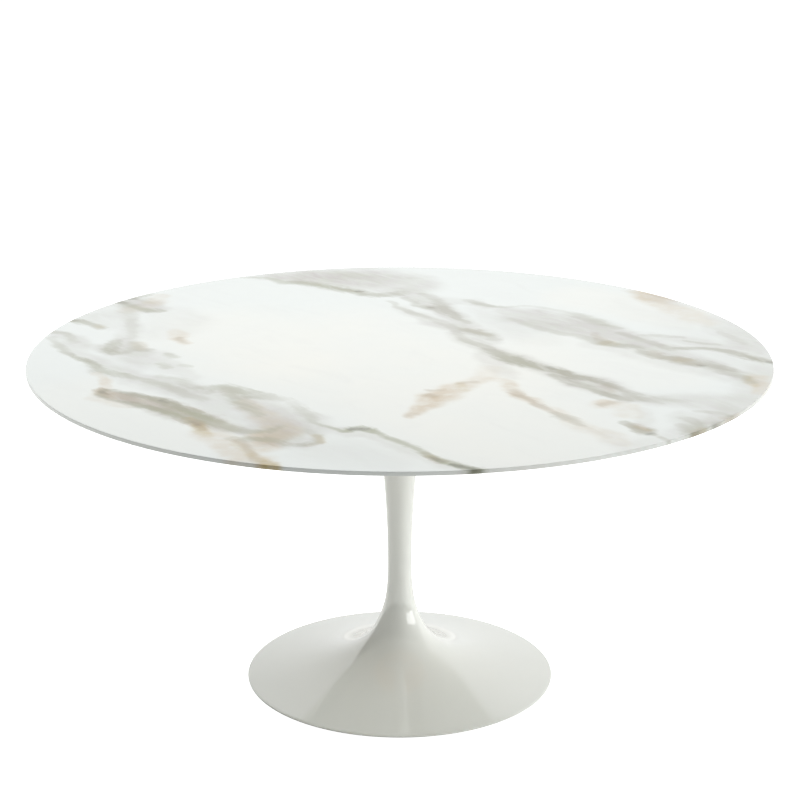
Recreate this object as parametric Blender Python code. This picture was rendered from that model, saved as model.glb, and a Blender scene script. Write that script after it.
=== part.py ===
"""Round pedestal table: a marble top on a one-piece enamelled trumpet pedestal.

Lengths are metres, +Z is up, and the origin is on the floor at the table's centre.
"""

import math

import bmesh
import bpy
from mathutils import Vector
from mathutils.geometry import interpolate_bezier

# Overall sizes
TABLE_HEIGHT = 0.7175
TOP_RADIUS = 0.762
FOOT_RADIUS = 0.327
WAIST_RADIUS = 0.0254
WAIST_HEIGHT = 0.252
FIT_GAP = 0.0003

# Marble top
TOP_THICKNESS = 0.020
RIM_LAND = 0.0081
RIM_ARRIS = 0.0010
BEVEL_WIDTH = 0.060

# Backing board bonded under the marble
BOARD_RADIUS = 0.290
BOARD_THICKNESS = 0.018
BOARD_CHAMFER = 0.006

# Mounting spider
ARM_COUNT = 4
ARM_REACH = 0.226
ARM_ROOT_HALF_WIDTH = 0.027
ARM_END_RADIUS = 0.018
ARM_THICKNESS = 0.008
HUB_RADIUS = 0.066
HUB_THICKNESS = 0.014
SPIGOT_RADIUS = 0.020
SPIGOT_LENGTH = 0.030
SCREW_CIRCLES = (0.118, 0.206)

# Screws, washers and threaded inserts
SCREW_RADIUS = 0.0030
SCREW_LENGTH = 0.020
SCREW_HEAD_RADIUS = 0.0055
SCREW_HEAD_HEIGHT = 0.0034
SOCKET_ACROSS_FLATS = 0.0040
SOCKET_DEPTH = 0.0020
SCREW_HOLE_RADIUS = 0.0034
WASHER_RADIUS = 0.0070
WASHER_THICKNESS = 0.0014
INSERT_RADIUS = 0.0058
INSERT_LENGTH = 0.0125

# Pedestal casting
STEM_TOP_RADIUS = 0.0620
WEB_THICKNESS = 0.014
BORE_RADIUS = 0.018
SEAT_HEIGHT = 0.125
FOOT_LAND = 0.0020

# Floor ring
RING_INNER = 0.302
RING_OUTER = 0.314
RING_HEIGHT = 0.0040

# Tie rod and its stack
ROD_RADIUS = 0.0080
ROD_BOTTOM = 0.082
CLAMP_RADIUS = 0.034
CLAMP_THICKNESS = 0.006
SPRING_RADIUS = 0.0135
SPRING_THICKNESS = 0.0035
NUT_ACROSS_FLATS = 0.024
NUT_HEIGHT = 0.013
LOCK_NUT_HEIGHT = 0.008

# Locating dowels
DOWEL_CIRCLE = 0.038
DOWEL_RADIUS = 0.0037
DOWEL_DEPTH = 0.010

# Facets round each kind of turned piece
TOP_SEGMENTS = 96
BOARD_SEGMENTS = 64
PEDESTAL_SEGMENTS = 56
RING_SEGMENTS = 56
ROD_SEGMENTS = 24
SMALL_SEGMENTS = 12

# Heights where one piece stops and the next begins
MARBLE_UNDERSIDE = TABLE_HEIGHT - TOP_THICKNESS
BOARD_TOP = MARBLE_UNDERSIDE - FIT_GAP
BOARD_UNDERSIDE = BOARD_TOP - BOARD_THICKNESS
SPIDER_TOP = BOARD_UNDERSIDE - FIT_GAP
ARM_UNDERSIDE = SPIDER_TOP - ARM_THICKNESS
HUB_UNDERSIDE = SPIDER_TOP - HUB_THICKNESS
STEM_TOP = HUB_UNDERSIDE - FIT_GAP
WEB_UNDERSIDE = STEM_TOP - WEB_THICKNESS
WASHER_TOP = ARM_UNDERSIDE - FIT_GAP
HEAD_TOP = WASHER_TOP - WASHER_THICKNESS - FIT_GAP


def clear_scene():
    for item in list(bpy.data.objects):
        bpy.data.objects.remove(item, do_unlink=True)


def make_material(name, colour, roughness, metallic):
    material = bpy.data.materials.new(name)
    material.use_nodes = True
    shader = material.node_tree.nodes["Principled BSDF"]
    shader.inputs["Base Color"].default_value = (*colour, 1.0)
    shader.inputs["Roughness"].default_value = roughness
    shader.inputs["Metallic"].default_value = metallic
    material.diffuse_color = (*colour, 1.0)
    return material


def bezier_points(start, start_handle, end_handle, end, count):
    """Points (radius, height) along one cubic segment, both ends included."""
    corners = [Vector((radius, 0.0, height)) for radius, height in (start, start_handle, end_handle, end)]
    return [(point.x, point.z) for point in interpolate_bezier(*corners, count)]


def finish_mesh(name, mesh_builder, material, sharp_angle=32.0):
    """Turn a bmesh into a named object that is shaded smooth up to sharp_angle."""
    bmesh.ops.recalc_face_normals(mesh_builder, faces=mesh_builder.faces)
    mesh = bpy.data.meshes.new(name)
    mesh_builder.to_mesh(mesh)
    mesh_builder.free()
    mesh.materials.append(material)
    mesh.shade_smooth()
    mesh.set_sharp_from_angle(angle=math.radians(sharp_angle))
    piece = bpy.data.objects.new(name, mesh)
    bpy.context.scene.collection.objects.link(piece)
    return piece


def turned_mesh(profile, segments):
    """Revolve a profile of (radius, height) points about Z.

    A profile that starts and ends on the axis becomes a solid with flat or pointed ends.
    Any other profile is taken as a closed loop and becomes a ring.
    """
    builder = bmesh.new()
    rings = []
    for radius, height in profile:
        if radius == 0.0:
            rings.append(None)
            continue
        ring = []
        for step in range(segments):
            angle = math.tau * step / segments
            ring.append(builder.verts.new((radius * math.cos(angle), radius * math.sin(angle), height)))
        rings.append(ring)
    closed_loop = rings[0] is not None and rings[-1] is not None
    last = len(rings) if closed_loop else len(rings) - 1
    for index in range(last):
        upper = rings[index]
        lower = rings[(index + 1) % len(rings)]
        if upper is None or lower is None:
            builder.faces.new(lower if upper is None else upper)
            continue
        for step in range(segments):
            after = (step + 1) % segments
            builder.faces.new((upper[step], upper[after], lower[after], lower[step]))
    return builder


def add_turned(name, profile, segments, material, sharp_angle=32.0):
    return finish_mesh(name, turned_mesh(profile, segments), material, sharp_angle)


def prism_mesh(outline, bottom, top):
    """Extrude an outline of (x, y) points between two heights."""
    builder = bmesh.new()
    lower = [builder.verts.new((x, y, bottom)) for x, y in outline]
    upper = [builder.verts.new((x, y, top)) for x, y in outline]
    builder.faces.new(upper)
    builder.faces.new(list(reversed(lower)))
    count = len(outline)
    for index in range(count):
        after = (index + 1) % count
        builder.faces.new((lower[index], lower[after], upper[after], upper[index]))
    return builder


def cut_with(piece, cutter):
    """Leave an exact Boolean cut on the piece and keep its cutter out of the renders."""
    cutter.hide_render = True
    cutter.display_type = "WIRE"
    modifier = piece.modifiers.new("cut_" + cutter.name, "BOOLEAN")
    modifier.operation = "DIFFERENCE"
    modifier.solver = "EXACT"
    modifier.object = cutter


def on_circle(radius, angle):
    return (radius * math.cos(angle), radius * math.sin(angle))


def screw_positions():
    """The (x, y) centres of the screws: two on each spider arm."""
    positions = []
    for arm in range(ARM_COUNT):
        for circle in SCREW_CIRCLES:
            positions.append(on_circle(circle, math.tau * arm / ARM_COUNT))
    return positions


def dowel_positions():
    return [on_circle(DOWEL_CIRCLE, math.radians(45.0)), on_circle(DOWEL_CIRCLE, math.radians(225.0))]


def cutting_pegs(name, centres, radius, bottom, top, segments):
    """One cutter made of several upright pegs."""
    builder = bmesh.new()
    for x, y in centres:
        lower = []
        upper = []
        for step in range(segments):
            dx, dy = on_circle(radius, math.tau * step / segments)
            lower.append(builder.verts.new((x + dx, y + dy, bottom)))
            upper.append(builder.verts.new((x + dx, y + dy, top)))
        builder.faces.new(upper)
        builder.faces.new(list(reversed(lower)))
        for step in range(segments):
            after = (step + 1) % segments
            builder.faces.new((lower[step], lower[after], upper[after], upper[step]))
    bmesh.ops.recalc_face_normals(builder, faces=builder.faces)
    mesh = bpy.data.meshes.new(name)
    builder.to_mesh(mesh)
    builder.free()
    cutter = bpy.data.objects.new(name, mesh)
    bpy.context.scene.collection.objects.link(cutter)
    return cutter


def build_marble_top(material):
    """Flat face, narrow rim land with eased arrises, and a long bevel cut under the edge."""
    rim_bottom = TABLE_HEIGHT - RIM_LAND
    ease = RIM_ARRIS * (1.0 - math.cos(math.radians(45.0)))
    profile = [
        (0.0, TABLE_HEIGHT),
        (TOP_RADIUS - RIM_ARRIS, TABLE_HEIGHT),
        (TOP_RADIUS - ease, TABLE_HEIGHT - ease),
        (TOP_RADIUS, TABLE_HEIGHT - RIM_ARRIS),
        (TOP_RADIUS, rim_bottom + RIM_ARRIS),
        (TOP_RADIUS - ease, rim_bottom + ease),
        (TOP_RADIUS - 1.6 * RIM_ARRIS, rim_bottom - 0.1 * RIM_ARRIS),
        (TOP_RADIUS - BEVEL_WIDTH, MARBLE_UNDERSIDE),
        (0.0, MARBLE_UNDERSIDE),
    ]
    return add_turned("marble_top", profile, TOP_SEGMENTS, material, 8.0)


def build_backing_board(material):
    """Plywood disc with a chamfered lower edge and a blind pocket for each insert."""
    profile = [
        (0.0, BOARD_TOP),
        (BOARD_RADIUS, BOARD_TOP),
        (BOARD_RADIUS, BOARD_UNDERSIDE + BOARD_CHAMFER),
        (BOARD_RADIUS - BOARD_CHAMFER, BOARD_UNDERSIDE),
        (0.0, BOARD_UNDERSIDE),
    ]
    board = add_turned("backing_board", profile, BOARD_SEGMENTS, material)
    pockets = cutting_pegs(
        "insert_pockets",
        screw_positions(),
        INSERT_RADIUS + FIT_GAP,
        BOARD_UNDERSIDE - 0.004,
        BOARD_UNDERSIDE + INSERT_LENGTH + 0.0015,
        SMALL_SEGMENTS,
    )
    cut_with(board, pockets)
    return board


def spider_outline():
    """Hub circle with four tapered arms that end in half circles."""
    outline = []
    root_angle = math.asin(ARM_ROOT_HALF_WIDTH / HUB_RADIUS)
    end_centre = ARM_REACH - ARM_END_RADIUS
    for arm in range(ARM_COUNT):
        along = math.tau * arm / ARM_COUNT
        local = [(HUB_RADIUS * math.cos(root_angle), -ARM_ROOT_HALF_WIDTH)]
        for step in range(9):
            turn = math.radians(-90.0 + 180.0 * step / 8)
            local.append(
                (end_centre + ARM_END_RADIUS * math.cos(turn), ARM_END_RADIUS * math.sin(turn))
            )
        local.append((HUB_RADIUS * math.cos(root_angle), ARM_ROOT_HALF_WIDTH))
        for step in range(1, 5):
            turn = root_angle + (math.tau / ARM_COUNT - 2.0 * root_angle) * step / 5
            local.append(on_circle(HUB_RADIUS, turn))
        for x, y in local:
            outline.append(
                (
                    x * math.cos(along) - y * math.sin(along),
                    x * math.sin(along) + y * math.cos(along),
                )
            )
    return outline


def build_table_spider(material):
    """Cast spider: flat arms, a thicker hub, and a spigot that drops into the stem."""
    spider = finish_mesh(
        "table_spider", prism_mesh(spider_outline(), ARM_UNDERSIDE, SPIDER_TOP), material
    )
    spigot_bottom = HUB_UNDERSIDE - SPIGOT_LENGTH
    hub_profile = [
        (0.0, SPIDER_TOP - 0.002),
        (HUB_RADIUS - 0.002, SPIDER_TOP - 0.002),
        (HUB_RADIUS - 0.002, HUB_UNDERSIDE + 0.003),
        (HUB_RADIUS - 0.005, HUB_UNDERSIDE),
        (SPIGOT_RADIUS, HUB_UNDERSIDE),
        (SPIGOT_RADIUS, spigot_bottom + 0.002),
        (SPIGOT_RADIUS - 0.002, spigot_bottom),
        (0.0, spigot_bottom),
    ]
    hub = add_turned("spider_hub_form", hub_profile, 48, material)
    hub.hide_render = True
    hub.display_type = "WIRE"
    union = spider.modifiers.new("join_hub", "BOOLEAN")
    union.operation = "UNION"
    union.solver = "EXACT"
    union.object = hub
    cut_with(
        spider,
        cutting_pegs(
            "spider_screw_holes",
            screw_positions(),
            SCREW_HOLE_RADIUS,
            ARM_UNDERSIDE - 0.01,
            SPIDER_TOP + 0.01,
            SMALL_SEGMENTS,
        ),
    )
    cut_with(
        spider,
        cutting_pegs(
            "spider_rod_hole",
            [(0.0, 0.0)],
            ROD_RADIUS + FIT_GAP,
            spigot_bottom - 0.01,
            SPIDER_TOP - 0.006,
            ROD_SEGMENTS,
        ),
    )
    cut_with(
        spider,
        cutting_pegs(
            "spider_dowel_holes",
            dowel_positions(),
            DOWEL_RADIUS + FIT_GAP,
            HUB_UNDERSIDE - 0.004,
            HUB_UNDERSIDE + DOWEL_DEPTH,
            SMALL_SEGMENTS,
        ),
    )
    return spider


def pedestal_outside():
    """Outer profile from the rim of the foot up to the stem's top, as (radius, height)."""
    waist = (WAIST_RADIUS, WAIST_HEIGHT)
    neck = (0.0504, 0.1178)
    rim = [
        (FOOT_RADIUS - 0.0010, FOOT_LAND),
        (FOOT_RADIUS, FOOT_LAND + 0.0010),
        (FOOT_RADIUS, 0.0046),
        (FOOT_RADIUS - 0.0004, 0.0052),
    ]
    foot = bezier_points((FOOT_RADIUS - 0.0014, 0.0056), (0.1981, 0.0233), (0.0714, 0.0509), neck, 14)
    throat = bezier_points(neck, (0.0443, 0.1372), (WAIST_RADIUS, 0.1449), waist, 8)
    flare = bezier_points(
        waist, (WAIST_RADIUS, 0.3919), (0.0386, 0.5289), (STEM_TOP_RADIUS, STEM_TOP - 0.003), 10
    )
    crown = [(STEM_TOP_RADIUS - 0.0008, STEM_TOP - 0.0008), (STEM_TOP_RADIUS - 0.003, STEM_TOP)]
    return rim + foot + throat[1:] + flare[1:] + crown


def pedestal_inside():
    """Inner profile from the stem's top down through the bore to the foot's land."""
    bore_top = 0.250
    flare = bezier_points(
        (0.0530, WEB_UNDERSIDE - 0.004), (0.0305, 0.5150), (BORE_RADIUS, 0.3850), (BORE_RADIUS, bore_top), 7
    )
    foot = bezier_points((0.0400, 0.1120), (0.0600, 0.0440), (0.1800, 0.0180), (0.2860, 0.0028), 10)
    groove_top = RING_HEIGHT + FIT_GAP
    return [
        (SPIGOT_RADIUS + FIT_GAP, STEM_TOP),
        (SPIGOT_RADIUS + FIT_GAP, WEB_UNDERSIDE),
        (0.0490, WEB_UNDERSIDE),
        *flare,
        (BORE_RADIUS, SEAT_HEIGHT),
        (0.0385, SEAT_HEIGHT),
        *foot,
        (0.2875, FOOT_LAND),
        (RING_INNER - FIT_GAP, FOOT_LAND),
        (RING_INNER - FIT_GAP, groove_top),
        (RING_OUTER + FIT_GAP, groove_top),
        (RING_OUTER + FIT_GAP, FOOT_LAND),
    ]


def build_pedestal(material):
    """One hollow casting: wide foot, slim waist, flared stem closed by a web at its top."""
    profile = pedestal_outside() + pedestal_inside()
    pedestal = add_turned("pedestal", profile, PEDESTAL_SEGMENTS, material, 38.0)
    holes = cutting_pegs(
        "stem_dowel_holes",
        dowel_positions(),
        DOWEL_RADIUS + FIT_GAP,
        STEM_TOP - DOWEL_DEPTH,
        STEM_TOP + 0.004,
        SMALL_SEGMENTS,
    )
    cut_with(pedestal, holes)
    return pedestal


def build_floor_ring(material):
    """Glide ring let into the groove under the foot, standing a little proud of it."""
    profile = [
        (RING_OUTER, 0.0006),
        (RING_OUTER, RING_HEIGHT),
        (RING_INNER, RING_HEIGHT),
        (RING_INNER, 0.0006),
        (RING_INNER + 0.0006, 0.0),
        (RING_OUTER - 0.0006, 0.0),
    ]
    return add_turned("floor_ring", profile, RING_SEGMENTS, material)


def build_insert(name, centre, material):
    """Threaded insert with coarse outer ridges and a clear bore for the screw."""
    bottom = BOARD_UNDERSIDE + FIT_GAP
    top = bottom + INSERT_LENGTH
    core = INSERT_RADIUS - 0.0008
    profile = [
        (INSERT_RADIUS, bottom),
        (INSERT_RADIUS, bottom + 0.0012),
        (core, bottom + 0.0020),
        (core, bottom + 0.0052),
        (INSERT_RADIUS, bottom + 0.0068),
        (core, bottom + 0.0084),
        (core, top - 0.0006),
        (core - 0.0006, top),
        (SCREW_HOLE_RADIUS, top),
        (SCREW_HOLE_RADIUS, bottom),
    ]
    insert = add_turned(name, profile, SMALL_SEGMENTS, material)
    insert.location = (*centre, 0.0)
    return insert


def build_washer(name, centre, material):
    profile = [
        (WASHER_RADIUS, WASHER_TOP - WASHER_THICKNESS),
        (WASHER_RADIUS, WASHER_TOP),
        (SCREW_HOLE_RADIUS, WASHER_TOP),
        (SCREW_HOLE_RADIUS, WASHER_TOP - WASHER_THICKNESS),
    ]
    washer = add_turned(name, profile, SMALL_SEGMENTS, material)
    washer.location = (*centre, 0.0)
    return washer


def build_screw(name, centre, material):
    """Button-head screw, head down, with a hexagon socket in the head."""
    head_bottom = HEAD_TOP - SCREW_HEAD_HEIGHT
    tip = HEAD_TOP + SCREW_LENGTH
    profile = [
        (0.0, tip),
        (SCREW_RADIUS - 0.0006, tip),
        (SCREW_RADIUS, tip - 0.0006),
        (SCREW_RADIUS, HEAD_TOP),
        (SCREW_HEAD_RADIUS, HEAD_TOP),
        (SCREW_HEAD_RADIUS, HEAD_TOP - 0.0008),
        (0.82 * SCREW_HEAD_RADIUS, HEAD_TOP - 0.0024),
        (0.55 * SCREW_HEAD_RADIUS, head_bottom),
        (0.0, head_bottom),
    ]
    builder = turned_mesh(profile, SMALL_SEGMENTS)
    cut_socket(builder, head_bottom)
    screw = finish_mesh(name, builder, material)
    screw.location = (*centre, 0.0)
    return screw


def cut_socket(builder, head_bottom):
    """Sink a hexagon socket into the flat end face at head_bottom."""
    for face in builder.faces:
        if len(face.verts) > 4 and abs(face.calc_center_median().z - head_bottom) < 1e-6:
            end_face = face
    builder.faces.remove(end_face)
    corner_radius = SOCKET_ACROSS_FLATS / math.sqrt(3.0)
    mouth = []
    floor = []
    for step in range(6):
        x, y = on_circle(corner_radius, math.tau * step / 6)
        mouth.append(builder.verts.new((x, y, head_bottom)))
        floor.append(builder.verts.new((x, y, head_bottom + SOCKET_DEPTH)))
    for step in range(6):
        after = (step + 1) % 6
        builder.faces.new((mouth[step], mouth[after], floor[after], floor[step]))
    builder.faces.new(floor)
    rim_edges = [edge for edge in builder.edges if edge.is_boundary]
    bmesh.ops.triangle_fill(builder, edges=rim_edges, use_beauty=True)


def build_tie_rod(material):
    top = SPIDER_TOP - 0.0075
    profile = [
        (0.0, top),
        (ROD_RADIUS - 0.0015, top),
        (ROD_RADIUS, top - 0.0015),
        (ROD_RADIUS, ROD_BOTTOM + 0.0015),
        (ROD_RADIUS - 0.0015, ROD_BOTTOM),
        (0.0, ROD_BOTTOM),
    ]
    return add_turned("tie_rod", profile, ROD_SEGMENTS, material)


def build_clamp_plate(material):
    """Round plate that bears up against the seat inside the foot."""
    top = SEAT_HEIGHT - FIT_GAP
    bottom = top - CLAMP_THICKNESS
    profile = [
        (CLAMP_RADIUS, bottom + 0.001),
        (CLAMP_RADIUS, top - 0.001),
        (CLAMP_RADIUS - 0.001, top),
        (ROD_RADIUS + 0.0008, top),
        (ROD_RADIUS + 0.0008, bottom),
        (CLAMP_RADIUS - 0.001, bottom),
    ]
    return add_turned("clamp_plate", profile, 32, material)


def build_spring_washer(material):
    """Split ring whose ends step past each other by a third of its thickness."""
    top = SEAT_HEIGHT - 2.0 * FIT_GAP - CLAMP_THICKNESS
    inner = ROD_RADIUS + 0.0004
    steps = 28
    builder = bmesh.new()
    rings = []
    for step in range(steps + 1):
        share = step / steps
        angle = math.radians(6.0 + 348.0 * share)
        drop = 0.0006 * share
        ring = []
        for radius, height in (
            (SPRING_RADIUS, top - drop - SPRING_THICKNESS + 0.0006),
            (SPRING_RADIUS, top - drop),
            (inner, top - drop),
            (inner, top - drop - SPRING_THICKNESS + 0.0006),
        ):
            ring.append(builder.verts.new((*on_circle(radius, angle), height)))
        rings.append(ring)
    for before, after in zip(rings, rings[1:]):
        for side in range(4):
            following = (side + 1) % 4
            builder.faces.new((before[side], before[following], after[following], after[side]))
    builder.faces.new(rings[0])
    builder.faces.new(list(reversed(rings[-1])))
    return finish_mesh("spring_washer", builder, material)


def build_nut(name, top, height, material):
    """Hexagon nut with chamfered corners and a clear round bore."""
    nut_corner = NUT_ACROSS_FLATS / math.sqrt(3.0)
    builder = bmesh.new()
    sides = 24
    loops = []
    for radius_limit, z in (
        (0.94 * nut_corner, top),
        (nut_corner, top - 0.0012),
        (nut_corner, top - height + 0.0012),
        (0.94 * nut_corner, top - height),
    ):
        loop = []
        for step in range(sides):
            angle = math.tau * step / sides
            within = (angle % (math.pi / 3.0)) - math.pi / 6.0
            flat_radius = 0.5 * NUT_ACROSS_FLATS / math.cos(within)
            loop.append(builder.verts.new((*on_circle(min(flat_radius, radius_limit), angle), z)))
        loops.append(loop)
    for z in (top - height, top):
        loop = []
        for step in range(sides):
            loop.append(builder.verts.new((*on_circle(ROD_RADIUS + 0.0004, math.tau * step / sides), z)))
        loops.append(loop)
    for index, loop in enumerate(loops):
        following = loops[(index + 1) % len(loops)]
        for step in range(sides):
            after = (step + 1) % sides
            builder.faces.new((loop[step], loop[after], following[after], following[step]))
    return finish_mesh(name, builder, material, 25.0)


def build_dowel(name, centre, material):
    top = HUB_UNDERSIDE + DOWEL_DEPTH - 0.0005
    bottom = STEM_TOP - DOWEL_DEPTH + 0.0005
    profile = [
        (0.0, top),
        (DOWEL_RADIUS - 0.0008, top),
        (DOWEL_RADIUS, top - 0.0008),
        (DOWEL_RADIUS, bottom + 0.0008),
        (DOWEL_RADIUS - 0.0008, bottom),
        (0.0, bottom),
    ]
    dowel = add_turned(name, profile, SMALL_SEGMENTS, material)
    dowel.location = (*centre, 0.0)
    return dowel


def build_fasteners(insert_material, steel):
    """An insert, a screw and a washer at each of the spider's holes."""
    for number, centre in enumerate(screw_positions(), start=1):
        build_insert(f"threaded_insert_{number}", centre, insert_material)
        build_screw(f"spider_screw_{number}", centre, steel)
        build_washer(f"spider_washer_{number}", centre, steel)


def build_rod_stack(steel):
    """Tie rod, clamp plate, spring washer and two nuts, all on the table's axis."""
    build_tie_rod(steel)
    build_clamp_plate(steel)
    build_spring_washer(steel)
    nut_top = SEAT_HEIGHT - 3.0 * FIT_GAP - CLAMP_THICKNESS - SPRING_THICKNESS
    build_nut("rod_nut", nut_top, NUT_HEIGHT, steel)
    build_nut("lock_nut", nut_top - NUT_HEIGHT - FIT_GAP, LOCK_NUT_HEIGHT, steel)


def main():
    clear_scene()
    marble = make_material("marble", (0.83, 0.84, 0.81), 0.14, 0.0)
    enamel = make_material("white_enamel", (0.80, 0.81, 0.79), 0.16, 0.0)
    plywood = make_material("plywood", (0.56, 0.40, 0.24), 0.65, 0.0)
    cast_aluminium = make_material("cast_aluminium", (0.58, 0.59, 0.60), 0.42, 0.9)
    zinc_steel = make_material("zinc_steel", (0.62, 0.63, 0.64), 0.32, 0.9)
    brass = make_material("brass", (0.74, 0.57, 0.28), 0.34, 0.9)
    rubber = make_material("floor_ring_rubber", (0.06, 0.06, 0.06), 0.8, 0.0)
    build_marble_top(marble)
    build_backing_board(plywood)
    build_table_spider(cast_aluminium)
    build_pedestal(enamel)
    build_floor_ring(rubber)
    build_fasteners(brass, zinc_steel)
    build_rod_stack(zinc_steel)
    for number, centre in enumerate(dowel_positions(), start=1):
        build_dowel(f"dowel_{number}", centre, zinc_steel)


main()
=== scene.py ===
"""Looks for the round pedestal table: a polished veined marble top on an enamelled trumpet foot.

Everything is in metres in the CAD's frame, apart from the vein tables, which are in millimetres.
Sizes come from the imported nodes' boxes.
"""

import math

import bmesh
import bpy
import numpy as np
from mathutils import Matrix, Quaternion, Vector
from mathutils.geometry import interpolate_bezier


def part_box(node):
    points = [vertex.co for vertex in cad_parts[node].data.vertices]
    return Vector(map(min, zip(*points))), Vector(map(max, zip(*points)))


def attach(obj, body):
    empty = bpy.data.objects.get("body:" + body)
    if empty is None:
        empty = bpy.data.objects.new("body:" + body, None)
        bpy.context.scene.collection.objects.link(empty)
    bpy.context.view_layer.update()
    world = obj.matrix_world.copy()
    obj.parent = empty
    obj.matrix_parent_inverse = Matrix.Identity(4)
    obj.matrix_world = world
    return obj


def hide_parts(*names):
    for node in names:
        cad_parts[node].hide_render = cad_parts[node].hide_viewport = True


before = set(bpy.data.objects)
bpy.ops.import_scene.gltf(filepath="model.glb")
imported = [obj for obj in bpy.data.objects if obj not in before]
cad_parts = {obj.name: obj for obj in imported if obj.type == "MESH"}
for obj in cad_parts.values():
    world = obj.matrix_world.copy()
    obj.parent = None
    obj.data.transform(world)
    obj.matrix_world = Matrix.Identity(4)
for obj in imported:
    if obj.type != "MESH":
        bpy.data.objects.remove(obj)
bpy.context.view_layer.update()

TOP_LOW, TOP_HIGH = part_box("marble_top")
TOP_RADIUS = TOP_HIGH[0]
TOP_FACE = TOP_HIGH[2]
TOP_UNDER = TOP_LOW[2]
BOARD_LOW, BOARD_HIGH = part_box("backing_board")
SPIDER_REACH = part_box("table_spider")[1][0]
PEDESTAL_LOW, PEDESTAL_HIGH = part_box("pedestal")
RING_OUTER, _, RING_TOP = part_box("floor_ring")[1]

# Proportions of the turned pieces, shared with the CAD
RIM_LAND = 0.0081
RIM_ARRIS = 0.0010
BEVEL_WIDTH = 0.060
NECK = (0.0517, 0.1143)
WAIST_RADIUS = 0.0254
WAIST_HEIGHT = 0.252
STEM_TOP_RADIUS = 0.0620
WEB_THICKNESS = 0.014
BORE_RADIUS = 0.018
SEAT_RADIUS = 0.0385
SEAT_HEIGHT = 0.125
SPIGOT_HOLE = 0.0203
DOWEL_HOLE = 0.0040
SCREW_HOLE = 0.0034
ROD_HOLE = 0.0083
INSERT_POCKET = 0.0061
HUB_RADIUS = 0.066
HUB_THICKNESS = 0.014
ARM_THICKNESS = 0.008
SPIGOT_RADIUS = 0.020
PLY_THICKNESS = 0.0026

# How finely the meshes are cut
FACE_RINGS = 126
UNDER_RINGS = 42
TURN_SEGMENTS = 300

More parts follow.
